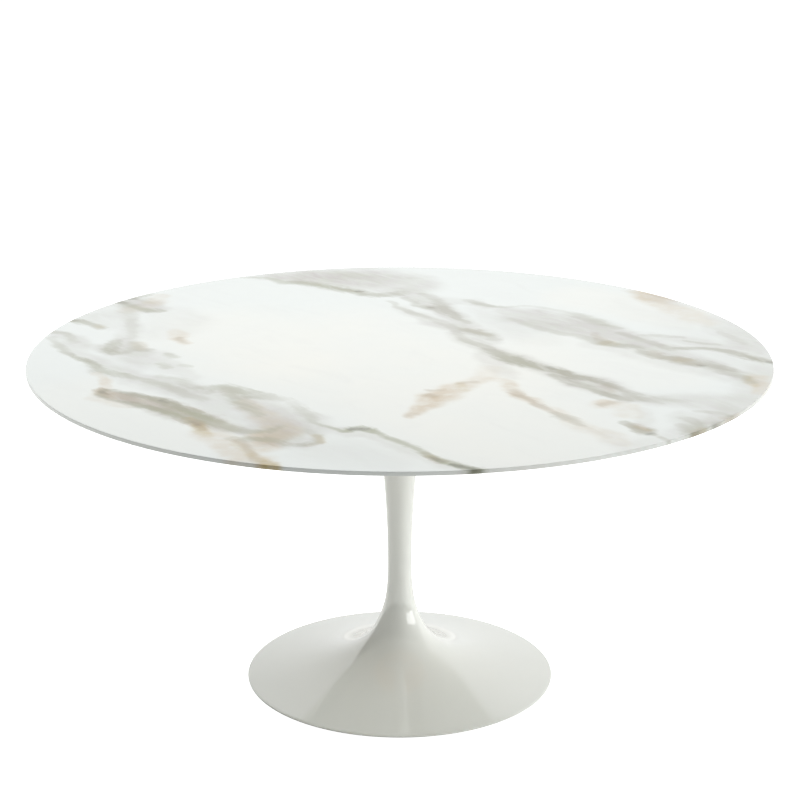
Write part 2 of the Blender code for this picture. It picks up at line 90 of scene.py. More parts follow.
# ---------------------------------------------------------------- veins of the marble
# Each vein is a list of points along its run on the table's face: x, y and half width in
# millimetres, and strength in percent.
GREY_LINES = [
    # far edge: the dark hem of the grey wedge, down to where it meets the next seam
    [(-370, 655, 6, 30), (-320, 655, 7, 35), (-270, 612, 14, 60), (-235, 605, 16, 80), (-200, 590, 16, 82),
     (-160, 562, 16, 85), (-120, 537, 16, 92), (-98, 520, 16, 90), (-80, 494, 16, 75), (-50, 482, 18, 75),
     (-20, 490, 16, 65), (0, 505, 16, 50)],
    [(50, 500, 10, 35), (75, 455, 14, 45), (92, 410, 16, 63), (100, 360, 16, 62), (118, 315, 13, 60),
     (132, 275, 11, 60), (150, 235, 8, 35)],
    [(10, 455, 8, 36), (45, 390, 10, 52), (70, 370, 13, 70), (85, 350, 9, 50), (105, 310, 6, 25)],
    [(-25, 425, 7, 26), (18, 340, 9, 48), (45, 300, 11, 55), (75, 262, 10, 35), (100, 225, 12, 32),
     (130, 190, 14, 45), (160, 165, 16, 60), (185, 145, 15, 55), (205, 105, 12, 35)],
    # the main seam of the right half; it splits in two near its end
    [(118, 190, 8, 30), (128, 120, 10, 42), (150, 78, 13, 55), (175, 48, 14, 65), (198, 5, 14, 72),
     (218, -35, 18, 85), (245, -70, 20, 95), (272, -105, 18, 95), (298, -125, 16, 95), (325, -150, 15, 95),
     (352, -178, 12, 85), (385, -198, 10, 80), (405, -225, 12, 72), (430, -262, 10, 60),
     (455, -305, 12, 60), (462, -328, 15, 60), (500, -340, 14, 40), (545, -350, 12, 20)],
    [(305, -160, 12, 60), (335, -210, 12, 62), (360, -245, 12, 65), (385, -285, 11, 65),
     (408, -308, 12, 80), (440, -330, 12, 60)],
    # upper band of the right half
    [(150, 440, 8, 35), (172, 418, 12, 60), (190, 398, 11, 55), (215, 385, 9, 55), (240, 375, 8, 40),
     (300, 385, 6, 15), (360, 340, 10, 20), (405, 285, 16, 40), (430, 250, 18, 50), (448, 215, 14, 50),
     (470, 190, 9, 35)],
    [(245, 270, 8, 15), (290, 200, 10, 32), (330, 160, 11, 40), (375, 132, 12, 34), (408, 98, 14, 44),
     (430, 70, 18, 60), (460, 55, 15, 72), (492, 35, 15, 56), (512, -5, 16, 54), (545, -35, 18, 70),
     (575, -62, 20, 56), (608, -85, 18, 58), (640, -110, 15, 66), (660, -140, 17, 62), (680, -175, 16, 58),
     (695, -215, 10, 40)],
    [(470, 150, 8, 35), (500, 115, 10, 45), (520, 85, 9, 30), (550, 50, 10, 45), (560, 20, 12, 50)],
    [(560, 32, 10, 55), (610, 30, 10, 62), (648, 25, 10, 62), (670, 10, 11, 70), (700, -20, 12, 75),
     (728, -50, 14, 90), (775, -85, 15, 90)],
    [(515, 135, 9, 30), (560, 128, 10, 32), (602, 118, 8, 25)],
    [(600, 92, 6, 35), (635, 72, 7, 40), (670, 60, 6, 25)],
    [(685, 165, 8, 25), (708, 120, 10, 35), (730, 65, 9, 30)],
    # centre: the thin dark line that reaches the near rim
    [(-160, -470, 6, 35), (-135, -500, 6, 55), (-118, -518, 7, 65), (-105, -535, 7, 75),
     (-90, -524, 10, 105), (-75, -520, 11, 115), (-55, -524, 10, 100), (-40, -548, 7, 70),
     (-20, -572, 7, 70), (0, -596, 7, 70), (22, -622, 8, 66), (42, -650, 9, 66), (60, -678, 10, 68),
     (83, -706, 9, 86), (112, -733, 10, 84), (150, -765, 12, 80)],
    # left half: seam along the outside of the grey band
    [(-760, 170, 8, 50), (-715, 148, 8, 45), (-698, 120, 10, 38), (-685, 80, 10, 25)],
    [(-740, 120, 8, 30), (-710, 48, 9, 50), (-690, 10, 8, 50), (-662, -36, 9, 72), (-640, -66, 10, 80),
     (-618, -95, 12, 85), (-600, -130, 13, 90), (-575, -152, 11, 80), (-545, -170, 10, 62),
     (-510, -195, 10, 50), (-470, -225, 12, 50), (-440, -255, 13, 50), (-410, -295, 13, 42),
     (-375, -332, 11, 30)],
    [(-475, -175, 9, 25), (-435, -198, 11, 35), (-408, -240, 10, 35), (-375, -290, 9, 25)],
    # left half: olive seam that widens into the taupe cloud
    [(-405, -250, 10, 40), (-380, -262, 14, 56), (-350, -252, 20, 56), (-322, -268, 22, 58),
     (-292, -297, 20, 66), (-268, -312, 16, 85), (-240, -328, 12, 65), (-215, -338, 9, 35)],
    [(-325, -300, 14, 45), (-305, -345, 14, 52), (-280, -385, 13, 50), (-262, -430, 11, 38)],
    [(-205, -355, 10, 28), (-183, -395, 11, 42), (-168, -430, 11, 38), (-158, -470, 9, 35)],
    # left half: the dark spindle, an open loop at its outer end and solid along its middle
    [(-530, -352, 7, 70), (-558, -335, 7, 65), (-580, -308, 7, 55), (-572, -278, 8, 75),
     (-550, -268, 8, 75), (-525, -285, 9, 75), (-505, -305, 10, 80), (-478, -325, 10, 85),
     (-455, -342, 11, 90), (-432, -370, 12, 90), (-410, -400, 13, 92), (-385, -428, 14, 95),
     (-360, -460, 15, 78), (-335, -490, 14, 58), (-305, -520, 11, 52), (-275, -538, 11, 48),
     (-240, -535, 10, 52), (-222, -505, 9, 40)],
    [(-530, -350, 9, 75), (-500, -370, 11, 85), (-472, -388, 12, 90), (-445, -402, 13, 90),
     (-425, -425, 13, 90), (-405, -448, 12, 80), (-392, -475, 9, 60)],
    [(-300, -576, 10, 45), (-268, -586, 12, 55), (-235, -584, 12, 50), (-212, -590, 11, 40)],
    [(-198, -616, 9, 35), (-168, -616, 11, 55), (-148, -596, 10, 35), (-150, -556, 10, 28),
     (-168, -525, 9, 25)],
    # upper left: broken dashes near the rim
    [(-640, 425, 12, 60), (-612, 398, 12, 55), (-580, 358, 13, 55), (-555, 342, 14, 75),
     (-530, 335, 11, 60)],
    [(-600, 460, 10, 55), (-575, 490, 10, 45)],
    [(-730, 260, 12, 85), (-703, 250, 13, 80), (-682, 234, 12, 65), (-660, 212, 10, 50),
     (-642, 192, 11, 45)],
    [(-598, 95, 12, 45), (-600, 50, 14, 62), (-596, 10, 15, 72), (-585, -8, 14, 62)],
    [(-555, 75, 14, 35), (-545, 45, 14, 42), (-560, 0, 12, 38)],
    [(-548, 24, 15, 50), (-528, 18, 14, 45)],
    [(-475, -15, 11, 45), (-462, -35, 10, 40)],
    [(-485, -88, 10, 40), (-468, -112, 10, 38)],
    [(-442, -98, 8, 22), (-425, -104, 8, 25)],
    [(-600, 330, 14, 28), (-588, 250, 11, 24), (-575, 180, 10, 26), (-568, 115, 9, 24)],
    # near right: the broken line that leaves the honey arc
    [(285, -420, 9, 32), (302, -442, 13, 48), (322, -462, 12, 42), (340, -500, 8, 28)],
    [(415, -480, 8, 55), (428, -512, 9, 58), (442, -545, 10, 58), (458, -552, 10, 56), (462, -522, 8, 60)],
    [(470, -570, 6, 50), (490, -605, 6, 40)],
    [(532, -455, 12, 45), (545, -490, 15, 42), (545, -525, 15, 48)],
    [(602, -482, 12, 44), (580, -486, 11, 36)],
    [(516, -498, 9, 28), (530, -520, 14, 50), (522, -548, 13, 50)],
    [(560, -415, 8, 30), (595, -420, 9, 40), (625, -445, 10, 50)],
]

RUST_LINES = [
    [(222, -275, 10, 35), (230, -306, 13, 80), (243, -330, 10, 60), (260, -365, 11, 65),
     (280, -405, 9, 50), (300, -440, 9, 30), (350, -520, 8, 15), (375, -570, 8, 10)],
    [(55, -276, 8, 42), (82, -274, 7, 32)],
    [(58, -304, 11, 60), (72, -314, 9, 50)],
    [(118, -228, 10, 40), (150, -220, 8, 35)],
    [(15, -440, 9, 30), (30, -425, 10, 25)],
    [(385, -368, 10, 50), (405, -352, 12, 40), (432, -346, 8, 20)],
    [(430, -500, 12, 48), (445, -528, 14, 62)],
    [(140, 185, 10, 30), (170, 160, 12, 45), (190, 135, 10, 40)],
    [(418, 150, 9, 30), (424, 110, 11, 45), (430, 78, 12, 50)],
    [(525, 5, 14, 40), (535, -30, 15, 50), (580, -62, 16, 60), (605, -100, 10, 35)],
    [(405, -240, 16, 35), (412, -275, 14, 35)],
    [(575, 510, 14, 60), (602, 468, 14, 55), (625, 435, 12, 35)],
    [(612, -455, 14, 50), (640, -425, 10, 35)],
    [(-576, -272, 13, 90), (-568, -300, 14, 90), (-552, -325, 12, 70)],
    [(-548, -298, 18, 80), (-515, -322, 22, 74), (-475, -350, 28, 60), (-440, -385, 30, 62),
     (-400, -425, 32, 60), (-360, -470, 28, 50), (-315, -515, 20, 35)],
    [(-405, -440, 12, 50), (-385, -465, 16, 85), (-370, -492, 16, 90), (-360, -520, 12, 60)],
    [(-292, -590, 9, 50), (-272, -622, 9, 55), (-262, -656, 8, 35), (-250, -695, 11, 40),
     (-225, -728, 10, 15), (-205, -750, 10, 18)],
    [(-345, -262, 14, 25), (-305, -320, 14, 30), (-275, -378, 14, 28), (-245, -425, 18, 20),
     (-225, -480, 28, 32), (-220, -540, 32, 42), (-226, -590, 28, 50)],
    [(-468, 108, 10, 55), (-458, 88, 9, 50), (-445, 70, 6, 25)],
    [(48, -655, 8, 50), (62, -688, 10, 75), (78, -705, 9, 60)],
    [(-150, -560, 8, 30), (-142, -600, 8, 40), (-158, -622, 8, 40)],
]

GREY_BANDS = [
    [(-270, 670, 45, 80), (-220, 665, 65, 110), (-150, 650, 85, 110), (-85, 635, 105, 100),
     (-35, 610, 100, 80), (10, 580, 80, 45)],
    [(-345, 655, 16, 35), (-300, 655, 30, 30)],
    [(-10, 520, 30, 55), (30, 490, 36, 70), (65, 440, 36, 72), (90, 385, 34, 72), (108, 330, 28, 70),
     (130, 270, 22, 55), (155, 215, 18, 40)],
    [(40, 630, 45, 22), (40, 560, 40, 30)],
    [(115, 430, 30, 35), (160, 425, 30, 42), (200, 385, 20, 35)],
    [(0, 385, 18, 14), (45, 300, 26, 36), (85, 236, 36, 52), (135, 190, 30, 55), (180, 140, 30, 60),
     (195, 80, 26, 35)],
    [(125, 150, 24, 35), (150, 80, 28, 45), (195, 10, 28, 50), (245, -65, 34, 60), (305, -140, 36, 66),
     (355, -205, 44, 85), (400, -255, 42, 85), (440, -305, 34, 55), (480, -335, 34, 55),
     (540, -345, 48, 48), (600, -355, 58, 46), (660, -355, 50, 34)],
    [(245, 340, 34, 55), (290, 290, 66, 90), (350, 240, 72, 92), (410, 190, 66, 82), (460, 130, 54, 72),
     (500, 80, 44, 78), (545, 20, 44, 80), (590, -45, 36, 60), (640, -110, 30, 60), (680, -165, 28, 65),
     (700, -220, 20, 35)],
    [(490, 145, 26, 35), (555, 120, 26, 40), (610, 80, 34, 35), (680, 35, 36, 38), (740, -30, 30, 40)],
    [(660, 190, 24, 22), (705, 130, 32, 34), (738, 60, 26, 30)],
    [(172, -10, 18, 25), (190, -80, 24, 38), (204, -140, 26, 42), (208, -175, 22, 25)],
    [(200, 350, 50, 24), (228, 246, 60, 30), (258, 170, 56, 28), (300, 100, 50, 16)],
    [(-645, 360, 40, 22), (-628, 300, 45, 36), (-605, 210, 40, 22)],
    [(-520, 330, 60, 14), (-480, 262, 70, 22), (-500, 160, 60, 16)],
    [(535, -440, 30, 38), (540, -505, 34, 46), (590, -460, 34, 30), (630, -420, 34, 30)],
    [(455, -395, 16, 22), (452, -470, 18, 30), (450, -540, 20, 30)],
    [(420, -630, 40, 25), (490, -580, 40, 25), (550, -520, 36, 55), (625, -435, 50, 38),
     (675, -350, 60, 40), (735, -200, 45, 32), (750, -90, 35, 25)],
    [(700, 270, 40, 22), (740, 150, 42, 40), (738, 30, 42, 48)],
    [(375, -540, 20, 15), (390, -600, 24, 18)],
    [(-735, 150, 22, 40), (-695, 110, 26, 48), (-680, 50, 26, 52), (-668, 0, 24, 42), (-635, -50, 24, 35),
     (-600, -115, 28, 45), (-545, -165, 34, 50), (-490, -205, 40, 55), (-440, -250, 44, 56),
     (-395, -300, 44, 50), (-350, -350, 44, 40), (-310, -410, 44, 36), (-275, -470, 44, 36)],
    [(-380, -260, 22, 45), (-335, -270, 32, 48), (-300, -320, 34, 54), (-265, -370, 42, 62),
     (-235, -420, 50, 60), (-212, -480, 52, 62), (-210, -545, 50, 84), (-240, -590, 36, 75)],
    [(-280, -530, 30, 45), (-250, -560, 40, 80), (-190, -610, 36, 60)],
    [(-130, -640, 70, 20), (-30, -690, 60, 16)],
    [(-165, -440, 22, 25), (-155, -500, 26, 38), (-160, -572, 26, 38)],
    [(545, 520, 22, 30), (570, 475, 26, 55), (592, 435, 28, 62), (622, 400, 22, 30)],
    [(-135, -520, 20, 25), (-90, -545, 22, 38), (-55, -548, 22, 38), (-20, -592, 20, 28),
     (30, -650, 20, 30), (83, -722, 22, 35), (120, -748, 20, 35)],
    [(405, 60, 30, 25), (450, 20, 30, 28), (500, -40, 32, 28), (570, -105, 36, 30), (640, -155, 36, 30),
     (690, -225, 30, 22)],
    [(560, 400, 100, 10), (690, 170, 110, 22), (725, -120, 90, 22)],
    [(-560, -300, 22, 80), (-525, -320, 28, 100), (-480, -355, 34, 90), (-430, -400, 36, 100),
     (-385, -450, 36, 100), (-340, -500, 28, 80), (-290, -535, 22, 60)],
    [(-615, 430, 45, 105), (-585, 395, 50, 110), (-550, 355, 36, 75)],
    [(-690, 300, 22, 42), (-672, 255, 22, 42), (-650, 210, 18, 25)],
    [(-610, 350, 30, 38), (-595, 280, 22, 28), (-575, 190, 20, 26), (-575, 110, 30, 45),
     (-590, 40, 42, 75), (-545, 0, 42, 72), (-530, -50, 38, 45), (-480, -90, 36, 36), (-440, -140, 28, 28),
     (-415, -190, 24, 25)],
    [(-650, 45, 22, 32), (-600, 20, 28, 40)],
    [(-600, -50, 34, 22), (-540, -110, 40, 32)],
    [(-490, -10, 22, 25), (-470, -45, 22, 25)],
]

PEACH_STAINS = [
    [(20, -445, 16, 55), (35, -410, 20, 65), (52, -360, 25, 75), (70, -325, 32, 85), (95, -290, 32, 70),
     (115, -250, 30, 60), (142, -218, 24, 40), (168, -180, 24, 24), (185, -120, 22, 18)],
    [(174, -198, 14, 24), (200, -208, 16, 38), (218, -245, 18, 38)],
    [(215, -240, 18, 35), (228, -300, 20, 50), (265, -370, 18, 35), (300, -440, 18, 25),
     (365, -545, 24, 25), (400, -600, 20, 20)],
    [(560, 520, 30, 75), (572, 455, 36, 72), (590, 395, 34, 45), (625, 330, 40, 35), (660, 240, 34, 25)],
    [(395, -360, 26, 50), (425, -380, 26, 35), (425, -430, 26, 25)],
    [(715, -190, 24, 40), (712, -250, 22, 50), (705, -290, 18, 35)],
    [(-598, -150, 10, 30), (-582, -205, 14, 50), (-568, -250, 14, 50), (-575, -330, 20, 30),
     (-520, -375, 18, 25)],
    [(-345, -560, 30, 38), (-310, -610, 34, 42), (-280, -660, 34, 45), (-245, -710, 34, 50)],
    [(-545, 470, 22, 35), (-548, 420, 26, 38), (-600, 355, 30, 22)],
    [(-490, 180, 14, 25), (-462, 120, 20, 52), (-448, 75, 14, 38)],
    [(-535, 30, 18, 35), (-545, 70, 18, 25)],
    [(-235, -625, 30, 55), (-250, -575, 34, 60), (-210, -540, 36, 42), (-290, -350, 22, 30)],
]

HONEY_STAINS = [
    [(-392, -462, 12, 60), (-372, -500, 15, 95), (-360, -535, 13, 80), (-352, -562, 12, 40)],
    [(-300, -600, 10, 30), (-265, -650, 12, 40), (-245, -690, 14, 60), (-222, -728, 18, 100),
     (-205, -755, 16, 100)],
    [(430, 72, 16, 60), (450, 64, 12, 40)],
    [(570, -55, 18, 50), (592, -60, 12, 35)],
    [(440, -505, 12, 55), (450, -530, 10, 55)],
    [(694, -190, 10, 40), (700, -240, 10, 35)],
    [(60, -675, 8, 50), (75, -700, 8, 35)],
    [(120, -235, 12, 35), (130, -270, 12, 25)],
    [(-645, 195, 12, 40), (-655, 215, 10, 25)],
    [(-146, -560, 10, 45), (-140, -600, 10, 45)],
    [(-582, -285, 10, 35), (-572, -320, 10, 30)],
    [(535, -535, 14, 55), (548, -515, 10, 35)],
]

# Where the white ground is creamier
WARM_GROUND = [
    [(-350, 160, 200, 55), (-120, 20, 300, 90), (80, -200, 300, 85), (220, -560, 220, 60)],
    [(330, 40, 110, 45), (520, -180, 100, 45)],
    [(420, 460, 100, 50), (600, 300, 100, 50)],
    [(-600, -320, 120, 35), (-420, -560, 120, 35)],
]

# The darkest minerals, small spots along the seams
DARK_PATCHES = [
    [(96, -722, 7, 60), (125, -744, 10, 60), (155, -768, 11, 60)],
    [(60, -682, 7, 42), (80, -706, 6, 45)],
    [(-100, 522, 7, 60), (-88, 518, 6, 50)],
    [(-88, -522, 7, 60), (-64, -521, 7, 60)],
    [(295, -108, 8, 30), (305, -122, 8, 30)],
    [(580, -500, 9, 50), (598, -482, 8, 45)],
    [(538, -552, 11, 60), (548, -535, 8, 45)],
    [(450, -552, 7, 50), (458, -545, 6, 45)],
    [(-382, -475, 7, 30), (-372, -495, 7, 35)],
    [(-458, -342, 6, 40), (-445, -355, 6, 40)],
    [(-575, -285, 7, 35), (-566, -300, 7, 35)],
    [(604, -95, 8, 35), (612, -102, 7, 35)],
    [(750, -70, 8, 40), (775, -85, 10, 60)],
    [(70, 372, 7, 30), (78, 364, 6, 30)],
    [(-725, 262, 10, 50), (-708, 254, 7, 35)],
    [(-632, 420, 10, 50), (-618, 408, 8, 40)],
    [(-615, 452, 10, 40), (-600, 448, 8, 35)],
    [(585, 505, 8, 45), (604, 475, 7, 40)],
]


# ---------------------------------------------------------------- numbers on a grid
FAR_RATIO = 6.0        # beyond this many half widths a vein has no effect
WEAKNESS_COST = 1.2    # how far a weak vein gives way to a strong one, in half widths
WASH_REACH = 1.45      # a wash fades out at this many half widths


def lattice_value(ix, iy, seed):
    """A repeatable value from 0 to 1 for each integer lattice point."""
    mixed = (ix * 374761393 + iy * 668265263 + seed * 1274126177) & 0xFFFFFFFF
    mixed = ((mixed ^ (mixed >> 13)) * 1103515245) & 0xFFFFFFFF
    return ((mixed ^ (mixed >> 16)) & 0xFFFF) / 65535.0


def value_noise(x, y, cell, seed):
    """Smooth noise from -1 to 1 whose features are about one cell across."""
    gx, gy = x / cell, y / cell
    ix, iy = np.floor(gx).astype(np.int64), np.floor(gy).astype(np.int64)
    fx, fy = gx - ix, gy - iy
    fx = fx * fx * (3.0 - 2.0 * fx)
    fy = fy * fy * (3.0 - 2.0 * fy)
    near = lattice_value(ix, iy, seed) * (1 - fx) + lattice_value(ix + 1, iy, seed) * fx
    far = lattice_value(ix, iy + 1, seed) * (1 - fx) + lattice_value(ix + 1, iy + 1, seed) * fx
    return 2.0 * (near * (1 - fy) + far * fy) - 1.0


def layered_noise(x, y, cell, seed, layers=3):
    total = np.zeros_like(x)
    for layer in range(layers):
        total += value_noise(x, y, cell / 2**layer, seed + layer) / 2**layer
    return total / (2.0 - 0.5 ** (layers - 1))


def nearest_on_run(x, y, run):
    """Distance over half width, and strength, at the closest point of one vein's run."""
    best = np.full_like(x, 1e9)
    strength = np.zeros_like(x)
    points = [(px / 1000.0, py / 1000.0, width / 1000.0, percent / 100.0) for px, py, width, percent in run]
    for (ax, ay, a_width, a_power), (bx, by, b_width, b_power) in zip(points, points[1:]):
        dx, dy = bx - ax, by - ay
        along = np.clip(((x - ax) * dx + (y - ay) * dy) / (dx * dx + dy * dy), 0.0, 1.0)
        width = a_width + (b_width - a_width) * along
        ratio = np.hypot(x - ax - along * dx, y - ay - along * dy) / width
        closer = ratio < best
        best = np.where(closer, ratio, best)
        strength = np.where(closer, a_power + (b_power - a_power) * along, strength)
    return best, strength


def line_field(x, y, runs):
    """For crisp veins: the smallest distance ratio of all runs and that run's strength."""
    ratio = np.full_like(x, FAR_RATIO)
    strength = np.zeros_like(x)
    for run in runs:
        own, power = nearest_on_run(x, y, run)
        take = own + WEAKNESS_COST * (1.0 - power) < ratio + WEAKNESS_COST * (1.0 - strength)
        ratio = np.where(take, own, ratio)
        strength = np.where(take, power, strength)
    return np.minimum(ratio, FAR_RATIO), strength


def area_field(x, y, runs):
    """For broad washes: soft-edged coverage from 0 to 1."""
    clear = np.ones_like(x)
    for run in runs:
        ratio, power = nearest_on_run(x, y, run)
        fade = np.clip(WASH_REACH - ratio, 0.0, 1.0)
        clear *= 1.0 - power * fade * fade * (3.0 - 2.0 * fade)
    return 1.0 - clear


def marble_fields(x, y):
    """Every vein attribute at the points (x, y), after bending the plane by a few millimetres."""
    wx = x + 0.007 * layered_noise(x, y, 0.09, 11) + 0.005 * layered_noise(x, y, 0.030, 21)
    wy = y + 0.007 * layered_noise(x, y, 0.09, 31) + 0.006 * layered_noise(x, y, 0.030, 41)
    bx = wx + 0.012 * layered_noise(x, y, 0.05, 51)
    by = wy + 0.012 * layered_noise(x, y, 0.05, 61)
    grey_ratio, grey_power = line_field(wx, wy, GREY_LINES)
    rust_ratio, rust_power = line_field(wx, wy, RUST_LINES)
    return {
        "grey_ratio": grey_ratio,
        "grey_power": grey_power,
        "rust_ratio": rust_ratio,
        "rust_power": rust_power,
        "grey_band": area_field(bx, by, GREY_BANDS),
        "warm_ground": area_field(bx, by, WARM_GROUND),
        "peach_stain": area_field(bx, by, PEACH_STAINS),
        "honey_stain": area_field(bx, by, HONEY_STAINS),
        "dark_patch": area_field(wx, wy, DARK_PATCHES),
    }


# ---------------------------------------------------------------- node materials
class NodeTree:
    """Adds nodes to a tree; the helpers for a value return its output socket."""

    def __init__(self, tree):
        self.tree = tree

    def put(self, socket, value):
        if isinstance(value, bpy.types.NodeSocket):
            self.tree.links.new(value, socket)
        elif isinstance(value, tuple) and len(value) == 3 and socket.type == "RGBA":
            socket.default_value = (*value, 1.0)
        else:
            socket.default_value = value

    def node(self, kind, **inputs):
        """A new node with its named inputs set or linked; From_Min stands for From Min."""
        node = self.tree.nodes.new("ShaderNode" + kind)
        for name, value in inputs.items():
            self.put(node.inputs[name.replace("_", " ")], value)
        return node

    def math(self, operation, first, second, clamp=False):
        node = self.node("Math")
        node.operation = operation
        node.use_clamp = clamp
        self.put(node.inputs[0], first)
        self.put(node.inputs[1], second)
        return node.outputs[0]

    def add(self, first, second):
        return self.math("ADD", first, second)

    def less(self, first, second):
        return self.math("SUBTRACT", first, second)

    def times(self, first, second):
        return self.math("MULTIPLY", first, second)

    def share(self, first, second=1.0):
        """A product held between 0 and 1."""
        return self.math("MULTIPLY", first, second, clamp=True)

    def ramp(self, value, low, high, out_low=0.0, out_high=1.0):
        """Eased step: out_low up to low, out_high from high on."""
        node = self.node("MapRange")
        node.interpolation_type = "SMOOTHSTEP"
        node.clamp = True
        limits = {"Value": value, "From Min": low, "From Max": high, "To Min": out_low, "To Max": out_high}
        for name, number in limits.items():
            self.put(node.inputs[name], number)
        return node.outputs["Result"]

    def mix(self, amount, first, second):
        node = self.node("Mix")
        node.data_type = "RGBA"
        node.clamp_factor = True
        self.put(node.inputs["Factor"], amount)
        self.put(node.inputs[6], first)
        self.put(node.inputs[7], second)
        return node.outputs[2]


class Shader(NodeTree):
    """One node material, painted by object position and by the mesh's attributes."""

    def __init__(self, name):
        self.material = bpy.data.materials.new(name)
        self.material.use_nodes = True
        super().__init__(self.material.node_tree)
        self.surface = self.tree.nodes["Principled BSDF"]
        self.position = self.node("TexCoord").outputs["Object"]

    def attribute(self, name):
        node = self.node("Attribute")
        node.attribute_name = name
        return node.outputs["Fac"]

    def axis(self, letter):
        """Object x, y or z in metres."""
        return self.node("SeparateXYZ", Vector=self.position).outputs[letter]

    def mapped(self, scale, turn=0.0):
        """Object position turned about z, then scaled along each axis."""
        turned_position = self.node("Mapping", Rotation=(0.0, 0.0, turn), Vector=self.position)
        scaled = self.node("Mapping", Scale=scale, Vector=turned_position.outputs["Vector"])
        return scaled.outputs["Vector"]

    def noise(self, scale, detail, roughness, vector=None, distortion=0.0):
        node = self.node("TexNoise", Scale=scale, Detail=detail, Roughness=roughness, Distortion=distortion,
                         Vector=vector or self.position)
        return node.outputs["Fac"]

    def bump(self, height, strength, distance):
        node = self.node("Bump", Height=height, Strength=strength, Distance=distance)
        self.tree.links.new(node.outputs["Normal"], self.surface.inputs["Normal"])

    def finish(self, **settings):
        for name, value in settings.items():
            self.put(self.surface.inputs[name.replace("_", " ")], value)
        return self.material


def marble_material(name, polished):
    """White marble: broad grey-lavender bands, olive-grey seams, rust, peach and honey stains."""
    shader = Shader(name)
    vein_turn = math.radians(48.0)
    cloud = shader.noise(1.0, 4.0, 0.58, shader.mapped((6.0, 17.0, 12.0), vein_turn), 0.8)
    streak = shader.noise(1.0, 4.0, 0.62, shader.mapped((13.0, 60.0, 40.0), vein_turn), 0.9)
    mottle = shader.noise(26.0, 5.0, 0.62)
    drift = shader.noise(2.2, 3.0, 0.5)
    grain = shader.noise(420.0, 3.0, 0.6)

    warm = shader.times(shader.attribute("warm_ground"), shader.ramp(drift, 0.25, 0.60, 0.55, 1.10))
    ground = shader.mix(shader.share(warm), (0.825, 0.860, 0.835), (0.895, 0.895, 0.835))
    faint = shader.times(shader.ramp(cloud, 0.50, 0.78), 0.12)
    ground = shader.mix(faint, ground, (0.700, 0.705, 0.690))

    veil = shader.times(shader.attribute("grey_band"), shader.ramp(cloud, 0.30, 0.60, 0.70, 1.10))
    veil = shader.times(veil, shader.ramp(streak, 0.30, 0.68, 0.92, 1.06))
    grey = shader.mix(shader.ramp(mottle, 0.35, 0.65), (0.500, 0.465, 0.440), (0.500, 0.500, 0.430))
    colour = shader.mix(shader.share(veil, 0.78), ground, grey)

    peach = shader.times(shader.attribute("peach_stain"), shader.ramp(mottle, 0.30, 0.66, 0.50, 1.10))
    colour = shader.mix(shader.share(peach, 0.95), colour, (0.610, 0.490, 0.330))
    honey = shader.times(shader.attribute("honey_stain"), shader.ramp(mottle, 0.25, 0.60, 0.55, 1.10))
    colour = shader.mix(shader.share(honey, 0.70), colour, (0.480, 0.345, 0.075))

    wander = shader.times(shader.less(streak, 0.5), 2.2)
    blotch = shader.times(shader.less(mottle, 0.5), 1.6)
    wander = shader.add(wander, blotch)
    rust = shader.ramp(shader.add(shader.attribute("rust_ratio"), wander), 1.70, 0.30)
    rust = shader.times(rust, shader.attribute("rust_power"))
    brown = shader.mix(mottle, (0.310, 0.220, 0.105), (0.400, 0.300, 0.170))
    colour = shader.mix(shader.share(rust, 0.72), colour, brown)

    line = shader.ramp(shader.add(shader.attribute("grey_ratio"), wander), 1.90, 0.35)
    line = shader.times(line, shader.attribute("grey_power"))
    line = shader.times(line, shader.ramp(cloud, 0.28, 0.56, 0.55, 1.0))
    dark = shader.mix(shader.ramp(drift, 0.40, 0.60), (0.320, 0.305, 0.215), (0.315, 0.330, 0.195))
    colour = shader.mix(shader.share(line, 0.88), colour, dark)

    patch = shader.times(shader.attribute("dark_patch"), shader.ramp(mottle, 0.30, 0.60, 0.5, 1.1))
    colour = shader.mix(shader.share(patch, 0.90), colour, (0.070, 0.070, 0.040))

    if polished:
        rough = shader.ramp(mottle, 0.3, 0.7, 0.10, 0.17)
        shader.bump(shader.add(shader.times(line, -0.4), grain), 0.03, 0.0004)
    else:
        rough = shader.ramp(mottle, 0.3, 0.7, 0.50, 0.66)
        scratch = shader.noise(1.0, 2.0, 0.5, shader.mapped((900.0, 60.0, 60.0), 0.4))
        shader.bump(shader.add(scratch, grain), 0.25, 0.0006)
        # sealed with a dull resin, so the stone shows through only faintly
        colour = shader.mix(shader.ramp(mottle, 0.3, 0.7, 0.42, 0.54), colour, (0.240, 0.240, 0.195))
    return shader.finish(Base_Color=colour, Roughness=rough, IOR=1.48)


def enamel_material():
    """Thick gloss coating on a casting: faint orange peel, slow changes of tone, and painted shade along
    the foot's lowest few millimetres.
    """
    shader = Shader("white_enamel_gloss")
    slow = shader.noise(5.0, 2.0, 0.5)
    fine = shader.noise(160.0, 2.0, 0.5)
    peel = shader.noise(90.0, 2.0, 0.45)
    colour = shader.mix(slow, (0.828, 0.850, 0.803), (0.857, 0.875, 0.836))
    colour = shader.mix(shader.ramp(fine, 0.62, 0.80, 0.0, 0.10), colour, (0.72, 0.73, 0.68))
    # painted shade: the colour darkens towards the floor below about 5 mm height, standing in for the
    # shadow line where the foot meets the floor
    painted_foot_shade = shader.times(shader.ramp(shader.axis("Z"), 0.0052, 0.0030), 0.55)
    colour = shader.mix(painted_foot_shade, colour, (0.38, 0.39, 0.37))
    shader.bump(peel, 0.01, 0.00005)
    return shader.finish(Base_Color=colour, Roughness=shader.ramp(slow, 0.3, 0.7, 0.03, 0.05), IOR=1.50,
                         Coat_Weight=1.0, Coat_Roughness=0.03)


